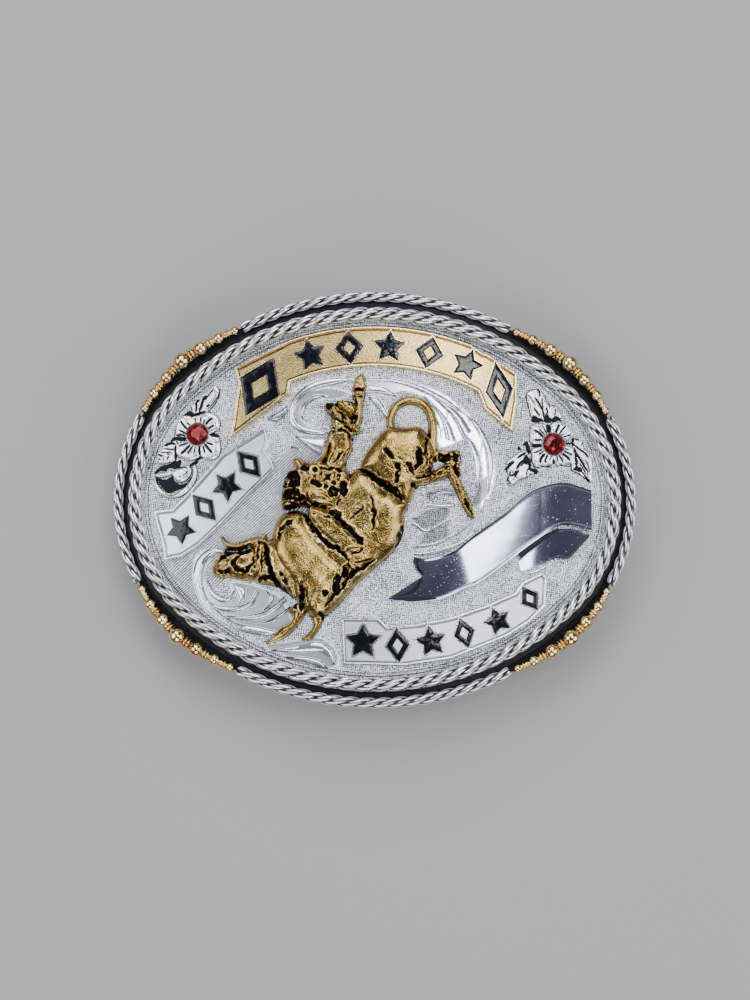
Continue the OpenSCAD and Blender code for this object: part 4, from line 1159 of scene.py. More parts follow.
# Black pools by their outlines, then black strokes by their half widths and points.
left_pools = [
    [(-39.9, 17.3), (-39.3, 17.8), (-38.6, 18.2), (-37.9, 18), (-37.2, 17.6), (-36.2, 17.9), (-35.2, 18.1),
     (-34.9, 17.8), (-35.6, 17.5), (-37, 17.1), (-38.5, 17.1)],
    [(-40, 8.1), (-41.2, 7.8), (-42.6, 7.3), (-44.2, 6.9), (-45.2, 6.2), (-45.9, 5.2), (-45.4, 5.1),
     (-44.6, 5.6), (-43.2, 5.7), (-42.8, 6.2), (-41.6, 6.2), (-40.3, 6.5), (-40, 7.2)],
    [(-35.4, 8.3), (-36, 8.6), (-37.2, 7.8), (-38.2, 7.1), (-38, 6.4), (-37.4, 6.9), (-36.7, 7),
     (-36.3, 7.8)],
    [(-44.9, 4.2), (-43.4, 4), (-42.4, 4.5), (-41.7, 4.9), (-41.5, 3.9), (-40.8, 3.3), (-40, 2.9),
     (-38.7, 3.2), (-38.9, 2.6), (-40, 1.9), (-41.4, 1.4), (-42.7, 1.2), (-43.9, 2), (-44.6, 3)],
]
left_strokes = [
    (0.42, [(-33.9, 13.1), (-33, 13), (-32.1, 12.8)]), (0.2, [(-34.4, 14.2), (-33.8, 14.7), (-33.1, 15)]),
    (0.24, [(-34.9, 15.1), (-34.2, 16), (-33.4, 16.6)]), (0.16, [(-35.3, 15.3), (-35.1, 16.3)]),
    (0.14, [(-36, 15.7), (-35.9, 16.9)]), (0.14, [(-36.9, 15.7), (-37.1, 16.6)]),
    (0.16, [(-38, 15), (-38.8, 15.7)]), (0.22, [(-38.5, 14.1), (-39.4, 15), (-40.2, 16.1)]),
    (0.2, [(-38.8, 13.3), (-39.7, 13.8), (-40.4, 14.1)]),
    (0.42, [(-38.6, 12.2), (-40.2, 12.3), (-41.4, 12.5), (-42.2, 12.1)]),
    (0.18, [(-38.6, 12.7), (-40, 13.2), (-41, 13)]), (0.18, [(-38.3, 11.5), (-39.4, 11.2), (-40.6, 10.8)]),
    (0.24, [(-38, 11.1), (-38.9, 10.1), (-40, 9.1)]), (0.2, [(-37.5, 10.8), (-38.1, 9.8), (-38.6, 9.2)]),
    (0.16, [(-36.9, 10.7), (-37.3, 9.1)]), (0.22, [(-36.2, 10.8), (-36.1, 9.6), (-36, 8.8)]),
    (0.16, [(-35.3, 10.8), (-34.9, 9.2)]), (0.26, [(-35, 11.2), (-34.2, 10.2), (-33.4, 9.3)]),
    (0.2, [(-34.6, 11.5), (-33.9, 11.2), (-33.3, 11)]), (0.1, [(-32, 11.8), (-32.7, 11.2)]),
    (0.16, [(-37.8, 18), (-37.9, 18.6), (-38.2, 19)]),
    (0.24, [(-37, 17.8), (-36.9, 19), (-36.9, 19.9), (-36.3, 20.4)]),
    (0.3, [(-36.3, 17.9), (-35.8, 19.4), (-35.5, 20.5), (-34.9, 21.3)]),
    (0.15, [(-35.2, 20.3), (-34.2, 21.6), (-33.3, 22.7)]), (0.22, [(-34.8, 18.9), (-34.2, 19.4)]),
    (0.09, [(-34.8, 18.3), (-33.6, 19.4), (-32.6, 20.9), (-32.2, 22)]),
    (0.17, [(-41.6, 12.9), (-41.4, 14), (-41.1, 15.1)]), (0.3, [(-42.4, 11.9), (-41.5, 12.3)]),
    (0.24, [(-41.2, 11.3), (-42.4, 11.4), (-43.5, 10.9)]),
    (0.14, [(-41.3, 10.2), (-42.4, 10.2), (-43.6, 10.4)]), (0.12, [(-41.9, 9.5), (-43.2, 9.6), (-44.4, 9.6)]),
    (0.22, [(-41.2, 11), (-41.2, 9.6), (-41.3, 8.2)]), (0.18, [(-44.9, 9.3), (-44.4, 8.9), (-43.8, 8.9)]),
    (0.1, [(-43, 9.2), (-42.4, 9.1)]), (0.15, [(-42.5, 8.8), (-43, 8.1)]),
    (0.13, [(-44.8, 8.3), (-44.3, 8.1)]), (0.1, [(-43.6, 8.8), (-43.7, 7.9)]),
    (0.14, [(-41.9, 6.2), (-40.8, 6.2), (-39.2, 6.4), (-38.4, 6.1)]),
    (0.16, [(-37.6, 6.9), (-37.5, 5.2), (-38.1, 4), (-39.1, 3), (-40.3, 2.9)]),
    (0.12, [(-45.3, 4.9), (-45.1, 3.6), (-44.8, 2.9)]), (0.1, [(-39.5, 4.6), (-38.8, 5.1), (-38.3, 5.8)]),
    (0.09, [(-40.4, 4.5), (-39.8, 4.4)]), (0.09, [(-43.6, 1), (-42, 0.6), (-40, 1.1)]),
    (0.1, [(-38.6, 2.6), (-37.7, 4)]),
]
right_forms = [
    (0.45, 0.45, 1, [
        (36.7, 12.6), (36.2, 15.2), (36.8, 16.1), (38.2, 16.2), (39.8, 15.6), (40.5, 14.5), (40.4, 13.3),
        (39.6, 12.4), (38, 12)]),
    (0.45, 0.45, 1, [
        (38, 11.6), (39.8, 11.6), (40.8, 11), (41, 10), (40.9, 8.6), (40.2, 7.6), (38.6, 7.2), (37.2, 7.5),
        (36.8, 9.4)]),
    (0.45, 0.45, 1, [
        (36.6, 9.6), (36.6, 7.6), (36, 7), (34.6, 6.9), (33.1, 6.8), (32.4, 7.8), (32.3, 9.2), (32.2, 10.3),
        (34.4, 10.9)]),
    (0.45, 0.45, 1, [
        (34.6, 11.4), (32.2, 11.7), (31.9, 12.9), (32, 14.4), (32.5, 15.5), (33.8, 15.8), (35.1, 15.6),
        (36.1, 15.4), (36.2, 13.2)]),
    (0.2, 0.35, 1, [
        (34.2, 16.4), (32.3, 17), (31.8, 18.6), (31.2, 21.7), (33, 22.9), (34.4, 22.6), (35.3, 21),
        (36.3, 19.9), (37.7, 19.3), (38.6, 17.2), (36.6, 16.3)]),
    (0.3, 0.35, 0.6, [
        (31.8, 10.2), (30.3, 10), (28.9, 9.1), (27.4, 8), (26.9, 7.2), (28.2, 7.7), (29.6, 8.2), (31.2, 9)]),
    (0.3, 0.35, 0.6, [
        (31.2, 9), (29.6, 8.4), (28.3, 7.8), (27.2, 6.6), (27.1, 5.6), (27.6, 5), (28.4, 5.2), (29.1, 6.1),
        (30, 7.2), (31.4, 7.8)]),
    (0.3, 0.35, 0.6, [
        (31.9, 7.6), (30.2, 7.5), (29.3, 6.3), (28.3, 5), (27.3, 4.5), (27.2, 3.3), (28.2, 2.9), (29.5, 4),
        (30.8, 4.3), (31.8, 5.1), (33, 5.4), (33.5, 6.1), (32.4, 6.7)]),
    (0.3, 0.35, 0.9, [
        (40.8, 12.8), (42, 12.9), (43.2, 12.4), (43.1, 11.1), (44.2, 10), (45, 8.4), (45, 5.6), (44.7, 3.9),
        (43.4, 4.7), (42, 5.7), (40.7, 6.4), (40.6, 8), (41, 10)]),
]
right_pools = [
    [(35.2, 15.4), (36.1, 15.4), (36.2, 14), (35.3, 14)],
    [(32.2, 16.2), (32.5, 17.3), (33, 17.4), (33.6, 17), (34.2, 16.9), (34.6, 16.5), (33.9, 16), (32.9, 16)],
    [(35, 17.2), (35.4, 18), (35.9, 17.2), (36.6, 16.9), (36.8, 17.2), (37.6, 17.4), (38.2, 17), (39, 16.4),
     (38, 16.4), (37, 16.5), (36.3, 16.1), (35.4, 15.9), (34.9, 16.3)],
    [(30.2, 11.2), (30.8, 11.9), (31.4, 12.2), (31.7, 11.7), (32, 10.9), (32.1, 10.1), (31.8, 9.3),
     (31.2, 9.8), (31, 10.4), (31, 11), (30.5, 11.1)],
    [(29.3, 10.1), (29.3, 10.8), (29.8, 10.9), (30.2, 10.5), (29.7, 10.1)],
    [(31, 9.2), (31.9, 8.6), (32.2, 8.1), (32.1, 7), (32.2, 6.5), (33.4, 6.2), (33.8, 5.9), (33.2, 5.2),
     (32.4, 5.7), (31.7, 6), (31.5, 6.6), (31.4, 7.2), (30.7, 7.4), (30.4, 8.2)],
    [(41.2, 9.6), (41.6, 9.2), (41.9, 8), (41.8, 7.2), (42.6, 6.8), (42.9, 6.2), (42.4, 5.9), (41.4, 6.2),
     (40.9, 6.4), (41.3, 7), (41.2, 8)],
]
right_strokes = [
    (0.25, [(37.1, 13.8), (37.6, 14.9), (37.9, 15.7)]), (0.18, [(37.9, 13.7), (38.7, 14.7), (39.4, 15.5)]),
    (0.12, [(38.2, 13.4), (39, 13.8)]), (0.15, [(38.7, 13), (39.7, 13.4), (40.3, 13.5)]),
    (0.12, [(38.6, 12.5), (39.3, 12.6)]), (0.24, [(38.9, 11.8), (39.8, 11.8), (40.5, 11.9)]),
    (0.14, [(38.9, 10.9), (39.9, 10.4)]), (0.2, [(38.9, 10.1), (39.8, 9.8), (40.7, 9.4)]),
    (0.24, [(38.3, 9.7), (39.4, 9.1), (40.2, 8.2)]), (0.18, [(37.7, 9.4), (38.3, 8.6), (38.7, 7.8)]),
    (0.15, [(37.3, 9.2), (37.7, 8.1)]), (0.28, [(36.7, 8.3), (36.9, 7.6)]),
    (0.13, [(36.3, 9.1), (35.8, 8.2)]), (0.2, [(35.5, 9.3), (35, 8.3), (35, 7.6)]),
    (0.28, [(34.9, 9.5), (34.1, 8.6), (33.9, 7.5)]), (0.16, [(34.6, 10), (33.6, 9.3)]),
    (0.16, [(34.4, 10.5), (33.2, 9.8), (32.5, 9.7)]), (0.34, [(34.3, 11.3), (33.2, 11.2), (32.2, 11)]),
    (0.2, [(34.4, 12.4), (33.5, 12.3), (32.8, 12.4)]), (0.22, [(34.7, 12.8), (33.6, 13.9), (32.6, 14.4)]),
    (0.13, [(35.1, 13.2), (34.2, 14.1), (33.7, 14.7)]), (0.13, [(35.4, 13.4), (34.8, 14.6), (34.5, 15.5)]),
    (0.08, [(32.5, 15.2), (33.4, 15.1), (34.2, 15)]), (0.1, [(34, 7), (35.2, 6.9), (36.1, 7.2)]),
    (0.1, [(38, 7.4), (39.4, 7), (40.8, 7.2)]), (0.17, [(34, 17.3), (33.3, 18.2), (32.7, 19)]),
    (0.2, [(34.9, 16.6), (34.6, 18.4), (33.8, 20), (32.9, 21.2)]),
    (0.09, [(33.1, 19.4), (32.2, 20.8), (31.5, 21.6)]), (0.13, [(34.7, 18.9), (34.5, 20.2), (34.4, 21.3)]),
    (0.2, [(35.4, 17.4), (35.5, 18.4), (35.3, 19.2)]), (0.13, [(37.1, 17.2), (37.2, 18.2), (37.2, 19)]),
    (0.16, [(34, 21.4), (33.9, 22.4), (33.5, 22.8)]), (0.1, [(35.7, 20), (36, 19.6), (36, 19)]),
    (0.24, [(31, 9.7), (30.2, 9.2), (29.2, 8.5)]), (0.3, [(28.5, 7.7), (27.8, 7.2), (27.1, 6.4), (26.6, 6)]),
    (0.16, [(27.2, 5.9), (26.8, 5.5)]), (0.22, [(30.8, 8.3), (29.8, 7.5), (29, 6.3)]),
    (0.15, [(30.7, 7.9), (30.2, 7.2), (30, 6.8)]), (0.2, [(29.5, 6), (29.1, 5.4), (28.6, 4.5)]),
    (0.15, [(29, 5.8), (28.4, 5), (28, 4.8)]), (0.14, [(27.8, 5.9), (27.7, 5.2), (28, 4.7)]),
    (0.12, [(27.4, 4.6), (27.3, 4), (27.6, 3.4), (28.2, 3.1)]), (0.1, [(28.2, 5.8), (28.3, 5.4)]),
    (0.1, [(28.2, 4.2), (28.5, 3.9)]), (0.1, [(28.9, 4.6), (29.3, 4.3)]),
    (0.14, [(31.5, 6.5), (31.2, 5.8), (31.1, 5)]), (0.12, [(30.9, 4.6), (31.4, 4.4)]),
    (0.1, [(31.9, 5.4), (32.3, 4.6), (32.9, 4.8)]),
    (0.24, [(41, 13.2), (40.9, 12.4), (40.8, 11.8), (41.4, 11.3)]), (0.13, [(41.2, 12.8), (42.2, 12.6)]),
    (0.16, [(43, 12.2), (42.7, 11.5)]), (0.2, [(41.2, 11.5), (42.2, 10.7), (43.4, 9.9), (44.2, 8.9)]),
    (0.24, [(41.2, 10.9), (41.5, 9.8), (42.2, 8.8), (43, 7.6), (43.6, 6.4)]),
    (0.12, [(42.2, 7.8), (43, 6.6), (43.7, 5.3)]), (0.12, [(43.3, 8.6), (44.1, 7.2), (44.4, 5.6)]),
    (0.15, [(43.4, 7), (43.9, 6.2), (44, 5.1)]), (0.13, [(42.6, 6.2), (43.6, 4.9), (44.4, 4.1)]),
]
flower_silver, place = new_finish("flower_silver", {"Metallic": 0.8})
# Black where the depth tone is high: the black filling of the cuts, and painted shade where the sheet is low.
black = (place.tone("depth") + (place.noise(0.5 * mm) - 0.5) * 0.3).step(0.35, 0.6)
feed(
    flower_silver,
    Base_Color=black.blend((1.0, 1.0, 1.0), (0.008, 0.008, 0.014)),
    Roughness=black * 0.3 + 0.17,
    Normal=place.noise(0.6 * mm, 3).bump(0.12 * mm)
)
for name, stone, low, high, outlined, pools, strokes in [
    ("left", left_stone, (-47, -1), (-31, 24), left_forms, left_pools, left_strokes),
    ("right", right_stone, (26, 2), (46, 24), right_forms, right_pools, right_strokes),
]:
    shapes = [flower_form(stone, low, high, outlined, pools, strokes), collar_form(*stone)]
    forms, depth = split_tones(shapes)
    make_piece(name + "_cast_flower", forms, flower_silver, "flower_silver", [name + "_flower"],
               crease=60, depth=depth)

# Stones. Round cut red crystals, glued into the collars: a table, sixteen crown facets round it
# and a girdle. Each facet has its own painted reflection, lighter or darker red, for the light inside a
# crystal differs from facet to facet, and small painted glints lie over them.
stone_r = 2.2


def crystal(name, x, y, node):
    """The convex hull of four rings of corners, square to the bent face, with one painted reflection number
    for each facet. Each ring: corners, turn in degrees, share of the stone's radius, height."""
    rings = [(16, 0, 1, 0), (16, 0, 1, 1.15), (8, 22.5, 0.8, 1.72), (8, 0, 0.46, 2.1)]
    up = face_up(x * mm, y * mm)
    corners = []
    for count, turn_degrees, share, height in rings:
        a = 2 * np.pi * np.arange(count) / count + np.radians(turn_degrees)
        flat = np.stack([x + share * stone_r * np.cos(a), y + share * stone_r * np.sin(a)]) * mm
        lean = -(flat[0] - x * mm) * up[0] / up[2]
        base = on_face(x * mm, y * mm, seat_gap) + height * mm * up
        corners.append(np.stack([flat[0] - x * mm + base[0], flat[1], lean + base[2]], 1))
    mesh = bpy.data.meshes.new(name)
    mesh.from_pydata(np.concatenate(corners), [], [])
    work = bmesh.new()
    work.from_mesh(mesh)
    bmesh.ops.convex_hull(work, input=work.verts)
    bmesh.ops.dissolve_limit(work, angle_limit=0.02, verts=work.verts, edges=work.edges)
    work.to_mesh(mesh)
    work.free()
    facets = np.zeros(3 * len(mesh.polygons))
    mesh.polygons.foreach_get("normal", facets)
    way = facets.reshape(-1, 3)
    painted_reflection = 0.5 + 0.5 * np.sin(5 * np.arctan2(way[:, 1], way[:, 0]) + 11 * way[:, 2])
    mesh.attributes.new("painted_reflection", "FLOAT", "FACE").data.foreach_set("value", painted_reflection)
    set_piece(name, mesh, stone_red, [node])


stone_red, place = new_finish("stone_red", {"Coat Weight": 0.15, "Coat Roughness": 0.03, "Metallic": 0.35})
# Painted glints: small bright spots from noise.
painted_glints = place.noise(0.45 * mm, 1).step(0.42, 0.66)
painted_reflection = place.tone("painted_reflection") * 0.5 + painted_glints * 0.5
feed(
    stone_red,
    Base_Color=painted_reflection.blend((0.020, 0.0, 0.002), (0.34, 0.006, 0.014)),
    Roughness=painted_reflection * 0.1 + 0.12
)
crystal("left_crystal", *left_stone, "left_stone")
crystal("right_crystal", *right_stone, "right_stone")

# Back fittings. A plain wire loop that takes the belt and a plain post for a belt hole, both nickel
# plated and soldered to the back by flat pads.
loop_x = 33 * mm
loop_y = 22.5 * mm
wire_r = 1.5 * mm
foot_x = 25 * mm
hook_x = 27 * mm
pad_t = 1.2 * mm
wire_sides = 28


def back_z(x):
    """Height of the plate's back at a place in x: the bend's axis plus the height of its circle there."""
    return axis_z + np.sqrt((curve_r - plate_t) ** 2 - x ** 2)


def lathe(x, y, profile):
    """A form turned about an upright line from (radius, height) pairs."""
    radius, height = np.array(profile).T[:, :, None]
    a = once_round(48)
    points = np.stack([x + radius * np.cos(a), y + radius * np.sin(a), height + 0 * a], -1)
    return grid(points, wrap_columns=True)


def wire(points, radius, bend, count):
    """A round wire along straight lengths whose corners are rounded by averaging the path over the
    length of a bend."""
    points = np.array(points)
    run = run_length(points)
    places = np.linspace(0, run[-1], count)
    near = np.clip(places[:, None] + bend * np.linspace(-1, 1, 21), 0, run[-1])
    core = np.stack([np.interp(near, run, column).mean(1) for column in points.T], 1)
    core[0], core[-1] = points[0], points[-1]
    way = unit(np.gradient(core, axis=0))
    one = square_to(way, np.array([1, 0, 0.2]))
    skin = tube(core, one, np.cross(way, one), radius, wire_sides)
    first, last = (np.repeat(end[None, None], wire_sides, 1) for end in (core[0], core[-1]))
    return grid(np.concatenate([first, skin, last]), wrap_columns=True)


nickel, place = new_finish("nickel", {"Metallic": 1.0})
haze = place.noise(3 * mm, 3)
feed(nickel, Base_Color=haze.blend((0.62, 0.61, 0.58), (0.74, 0.73, 0.70)), Roughness=haze * 0.2 + 0.2)
foot_low = back_z(foot_x) - pad_t
foot_top = back_z(foot_x + 2.6 * mm) - seat_gap
foot_pad = [(0, foot_low), (2.3 * mm, foot_low), (2.5 * mm, foot_low + 0.1 * mm),
            (2.6 * mm, foot_low + 0.3 * mm), (2.6 * mm, foot_top), (0, foot_top)]
loop_path = [
    (-foot_x, -loop_y, foot_low + pad_t / 2), (-loop_x, -loop_y, wire_r), (-loop_x, loop_y, wire_r),
    (-foot_x, loop_y, foot_low + pad_t / 2),
]
feet = [lathe(-foot_x, y, foot_pad) for y in (loop_y, -loop_y)]
loop_forms = [wire(loop_path, wire_r, 1.2 * mm, 180)] + feet
make_piece("wire_belt_loop", loop_forms, nickel, "back_fitting", ["belt_loop"], crease=50)

post_r = 1.8 * mm
tip = np.linspace(0, np.pi / 2, 12)
pad_low = back_z(hook_x) - pad_t
pad_top = back_z(hook_x + 3.6 * mm) - seat_gap
post = np.concatenate([
    np.stack([post_r * np.sin(tip), post_r * (1 - np.cos(tip))], 1),
    [(post_r, pad_low - 0.3 * mm), (post_r + 0.1 * mm, pad_low), (3.4 * mm, pad_low),
     (3.6 * mm, pad_low + 0.2 * mm), (3.6 * mm, pad_top), (0, pad_top)],
])
make_piece("plain_hook_post", [lathe(hook_x, 0, post)], nickel, "back_fitting", ["hook_post"], crease=50)

# Bull and rider. One high casting, gold-plated and polished. Its hollows are dark, partly as patina in the
# cuts and partly as painted shade, and the lips beside the cuts have a painted highlight. The surface
# is a sheet of heights over the face: the highest of many rounded forms, with folds cut into it.
cell = 0.16
figure_high = 3.7
rod_foot = 0.2
rod_slope = 2.5
path_margin = 2
soften = 0.09
waver_size, waver_high = 0.3, 0.16
coarse_size, coarse_high = 0.6, 0.012
fine_size, fine_high = 0.2, 0.007
fold_lip = 0.22
pit_lip = 0.18
pit_lip_out = 0.32
pit_lip_w = 0.11


def blur(sheet, radius):
    """The sheet averaged by a bell of the given radius: it is taken apart into waves, and the shorter a
    wave, the more it is weakened."""
    fy = np.fft.fftfreq(sheet.shape[0], cell)[:, None]
    fx = np.fft.rfftfreq(sheet.shape[1], cell)[None, :]
    bell = np.exp(-2 * (np.pi * radius) ** 2 * (fx ** 2 + fy ** 2))
    return np.fft.irfft2(np.fft.rfft2(sheet) * bell, sheet.shape)


def uneven(size, high):
    """Seeded unevenness over the sheet: grains of a size, and a spread of heights."""
    field = blur(random.normal(size=sheet_x.shape), size)
    return field * high / field.std()


# The forms: level of the edge, rise of the middle above it, distance over which it rounds, outline.
body_forms = {
    "far hind leg": (0.5, 0.7, 0.7, [
        (11.8, 9.6), (14.5, 9.7), (16.8, 9.8), (17.5, 8.7), (17.3, 6.5), (17.6, 4.8), (16.8, 5), (16, 6.5),
        (14, 7.4), (12, 8), (10.5, 8.2)]),
    "far foreleg": (0.3, 0.7, 0.8, [
        (-13, -24), (-10.3, -23.6), (-10.7, -26), (-12, -28), (-12.8, -28.9), (-14.6, -28.9), (-13.4, -27.8),
        (-12.2, -26.2), (-12.4, -25)]),
    "near foreleg": (0.4, 1.2, 1.2, [
        (-17.4, -23), (-16.4, -23.9), (-17.2, -25.6), (-18.8, -26.4), (-20.2, -27.8), (-21.8, -29.6),
        (-20, -29.3), (-18, -28.4), (-16.2, -26.8), (-15.2, -25.6), (-14, -23.5), (-14.5, -21)]),
    "near hind foot": (0.4, 1.3, 1.2, [
        (14.9, 6.4), (16.2, 6.5), (17.3, 4), (18.6, 1.4), (19.7, -1), (20.3, -3.8), (19.3, -3.6),
        (18.4, -2.2), (17.2, 0.2), (16, 2.6), (15, 4.6)]),
    "near hind shank": (0.6, 1.6, 1.6, [
        (7.8, 4), (9.4, 2.6), (12, 3.4), (14.6, 4.2), (15.9, 5.8), (15.3, 7.2), (14, 6.8), (12.3, 5.8),
        (10.3, 5), (8.5, 5)]),
    "barrel": (0.7, 2.2, 3.4, [
        (-4, 5.5), (-1.5, 5.2), (2, 2.4), (6.6, -1), (5.9, -3.5), (5.9, -6.5), (4.6, -9.7), (2.4, -12.2),
        (-0.5, -14.7), (-4, -18), (-7, -21.5), (-10, -24), (-13, -23.8), (-16, -20), (-18, -14), (-14, -6),
        (-9, 0)]),
    "haunch": (0.7, 2.3, 3, [
        (-3, 5.9), (-2.2, 8.3), (-0.6, 10.8), (1.2, 13.2), (3, 14.4), (6, 14.4), (9, 14.6), (10.5, 13.2),
        (11.6, 10.8), (12.2, 8.5), (11.5, 6), (10, 4), (8.9, 2.4), (8, 1.5), (6.8, -0.7), (3.5, 1.3), (0, 4),
        (-2, 5.3)]),
    "neck": (0.6, 2, 3, [
        (-20.3, -8.7), (-21.9, -8.9), (-23, -8.4), (-25, -10), (-25.5, -12), (-24.5, -14.8), (-23, -17.3),
        (-20.2, -18), (-17.6, -19.5), (-16, -20.7), (-15.2, -19), (-14, -14), (-16, -8)]),
    "shoulder": (0.9, 2.3, 3.2, [
        (-20.6, -7.5), (-19.8, -4.8), (-17.5, -3), (-14.7, -3), (-13, -5), (-11, -8), (-8.3, -11),
        (-6.2, -13), (-5.4, -14.8), (-6.5, -17), (-8.3, -18.5), (-10, -21), (-12, -23.2), (-14, -22.3),
        (-15.3, -19.5), (-17.3, -16.8), (-19.5, -14), (-20.8, -11)]),
    "web between horn and face": (0.3, 0.05, 0.4, [
        (-30.6, -10.9), (-29.9, -10.1), (-28.2, -10.2), (-26.4, -9.5), (-24.9, -9.1), (-24.5, -11),
        (-26.6, -12), (-29, -12.2), (-30.4, -12)]),
    "bull's head": (0.6, 2.1, 2.2, [
        (-23.5, -10.5), (-25, -10.3), (-27, -10.9), (-29, -11), (-30.6, -11.1), (-31.6, -11.8),
        (-32.4, -13.1), (-33, -14.5), (-32.6, -15.8), (-31.3, -16.4), (-29.5, -16.3), (-27, -16.8),
        (-24.8, -17), (-22.5, -17.2), (-21.5, -14), (-22, -11.5)]),
    "rider's trunk": (1.2, 1.6, 1.4, [
        (-9.3, 13.6), (-8, 14.6), (-6.3, 14.5), (-4.9, 13.2), (-4.7, 11.5), (-4.8, 9.8), (-5.9, 7.5),
        (-6.3, 5.8), (-8, 5.6), (-10, 6.5), (-9.7, 8.5), (-9.3, 10.5), (-9.6, 12)]),
    "raised arm": (0.8, 1.2, 0.9, [
        (-5, 13), (-3.6, 13.6), (-2.8, 16.2), (-2.6, 19), (-2.3, 21), (-2.4, 22), (-4.5, 22), (-4.4, 20.6),
        (-3.9, 19.2), (-3.6, 17)]),
    "raised hand": (0.6, 1, 0.8, [
        (-4.3, 22), (-4.5, 23.2), (-3.9, 24.8), (-3, 25.3), (-2.2, 24.8), (-1.9, 23.5), (-2.1, 22.2)]),
    "rider's head": (1, 1.3, 1.2, [
        (-8.9, 16.2), (-8.6, 15.4), (-8.5, 14.6), (-7.9, 14.1), (-7, 14), (-6.1, 14.6), (-5.8, 15.6),
        (-6.2, 16.9), (-7.4, 17.5), (-8.5, 17.2)]),
    "hat crown": (1.3, 1.4, 1.2, [
        (-8, 19.3), (-7.4, 20), (-5.5, 19.9), (-4.4, 19.3), (-3.4, 18.2), (-3.6, 16.8), (-4.9, 16.3),
        (-6.3, 17.3), (-7.5, 18.5)]),
    "hat brim": (1.7, 0.8, 0.6, [
        (-10.2, 18.8), (-9.6, 19.4), (-8.6, 19.2), (-6.5, 17.5), (-4.8, 15.8), (-3.4, 14.2), (-3.2, 13.4),
        (-3.9, 13.2), (-5.2, 14.2), (-7, 15.6), (-9, 17)]),
    "thigh": (1.4, 1.7, 1.8, [
        (-16.7, 7.8), (-15.5, 8), (-14, 7), (-12, 7.3), (-10.3, 7), (-8.5, 6.8), (-6, 6), (-5.2, 4), (-5, 1),
        (-5.5, -1.5), (-8, -2.8), (-10, -2), (-13, -2), (-15, -1.8), (-17, -2.3), (-18.6, -2.2), (-18.9, 0),
        (-18.5, 3), (-17.6, 5), (-16.2, 6)]),
    "shin": (1.9, 1.8, 1.7, [
        (-13.3, -1.8), (-10.5, -2.2), (-8.3, -3.5), (-6, -6), (-3.6, -8.3), (-1.9, -10), (-3, -10.8),
        (-4.5, -11), (-6, -11.5), (-8.2, -9.8), (-10.8, -7.5), (-12.7, -5.2), (-13.3, -4)]),
    "boot": (1.6, 1.5, 1.1, [
        (-6, -11.8), (-3.2, -11), (-1.3, -11.8), (0, -12.2), (-2.5, -14), (-5.3, -15.6), (-5.8, -14)]),
}
# Horns, tail and the rider's rein arm: width at the start and at the end, height, points.
rods = {
    "near horn": (0.95, 0.25, 1.9, [
        (-22.8, -9.1), (-24.8, -9), (-26.4, -9.4), (-28, -9.9), (-29.4, -9.8), (-30.5, -9.2), (-31.2, -8.2)]),
    "far horn": (0.8, 0.3, 1.9, [(-23.4, -10.2), (-22.9, -9), (-22.3, -7.9)]),
    "tail": (0.75, 0.95, 1.5, [
        (3.6, 14), (3.1, 15.6), (3.4, 17.3), (4.6, 19.1), (6.8, 20.1), (9, 19.8), (10.8, 18.3), (11.7, 16.2),
        (11.9, 13.5), (11.9, 10.5), (12.3, 8.5)]),
    "rein arm": (0.8, 0.6, 3, [(-8.9, 12.2), (-9.6, 10.2), (-10.3, 8.4), (-11.6, 6.6)]),
}
# Muscles: x, y, two radii, turn in degrees, height.
muscles = [
    (3.4, 11.2, 5.2, 4.6, 0, 0.7), (9.6, 7.6, 1.3, 3.2, 10, 0.4), (1, 9.4, 1.6, 3, 25, 0.25),
    (-0.8, 0.6, 3.4, 3.6, -30, 0.5), (3.2, -3.5, 1.6, 5, -14, 0.3), (-2.4, -4.4, 1, 4.2, -35, 0.25),
    (-16, -12.6, 3.4, 5.2, 30, 0.5), (-11, -18.6, 2.6, 3, 20, 0.45), (-17.4, -6.2, 2, 1.2, 30, 0.3),
    (-26.9, -12.2, 1.2, 0.8, 20, 0.25), (-30.6, -14.3, 1.3, 0.9, 30, 0.2), (-12.6, 4.3, 1.4, 1.1, 20, 0.3),
    (-9.4, 1.4, 1.6, 0.7, 40, 0.25), (-11.6, -3.6, 1.2, 1, 0, 0.2), (-6.9, -7.2, 2.2, 0.9, -42, 0.25),
    (10.2, 3.9, 1.2, 0.9, 0, 0.3), (-12.2, 0.4, 1.3, 1, 0, 0.25),
]
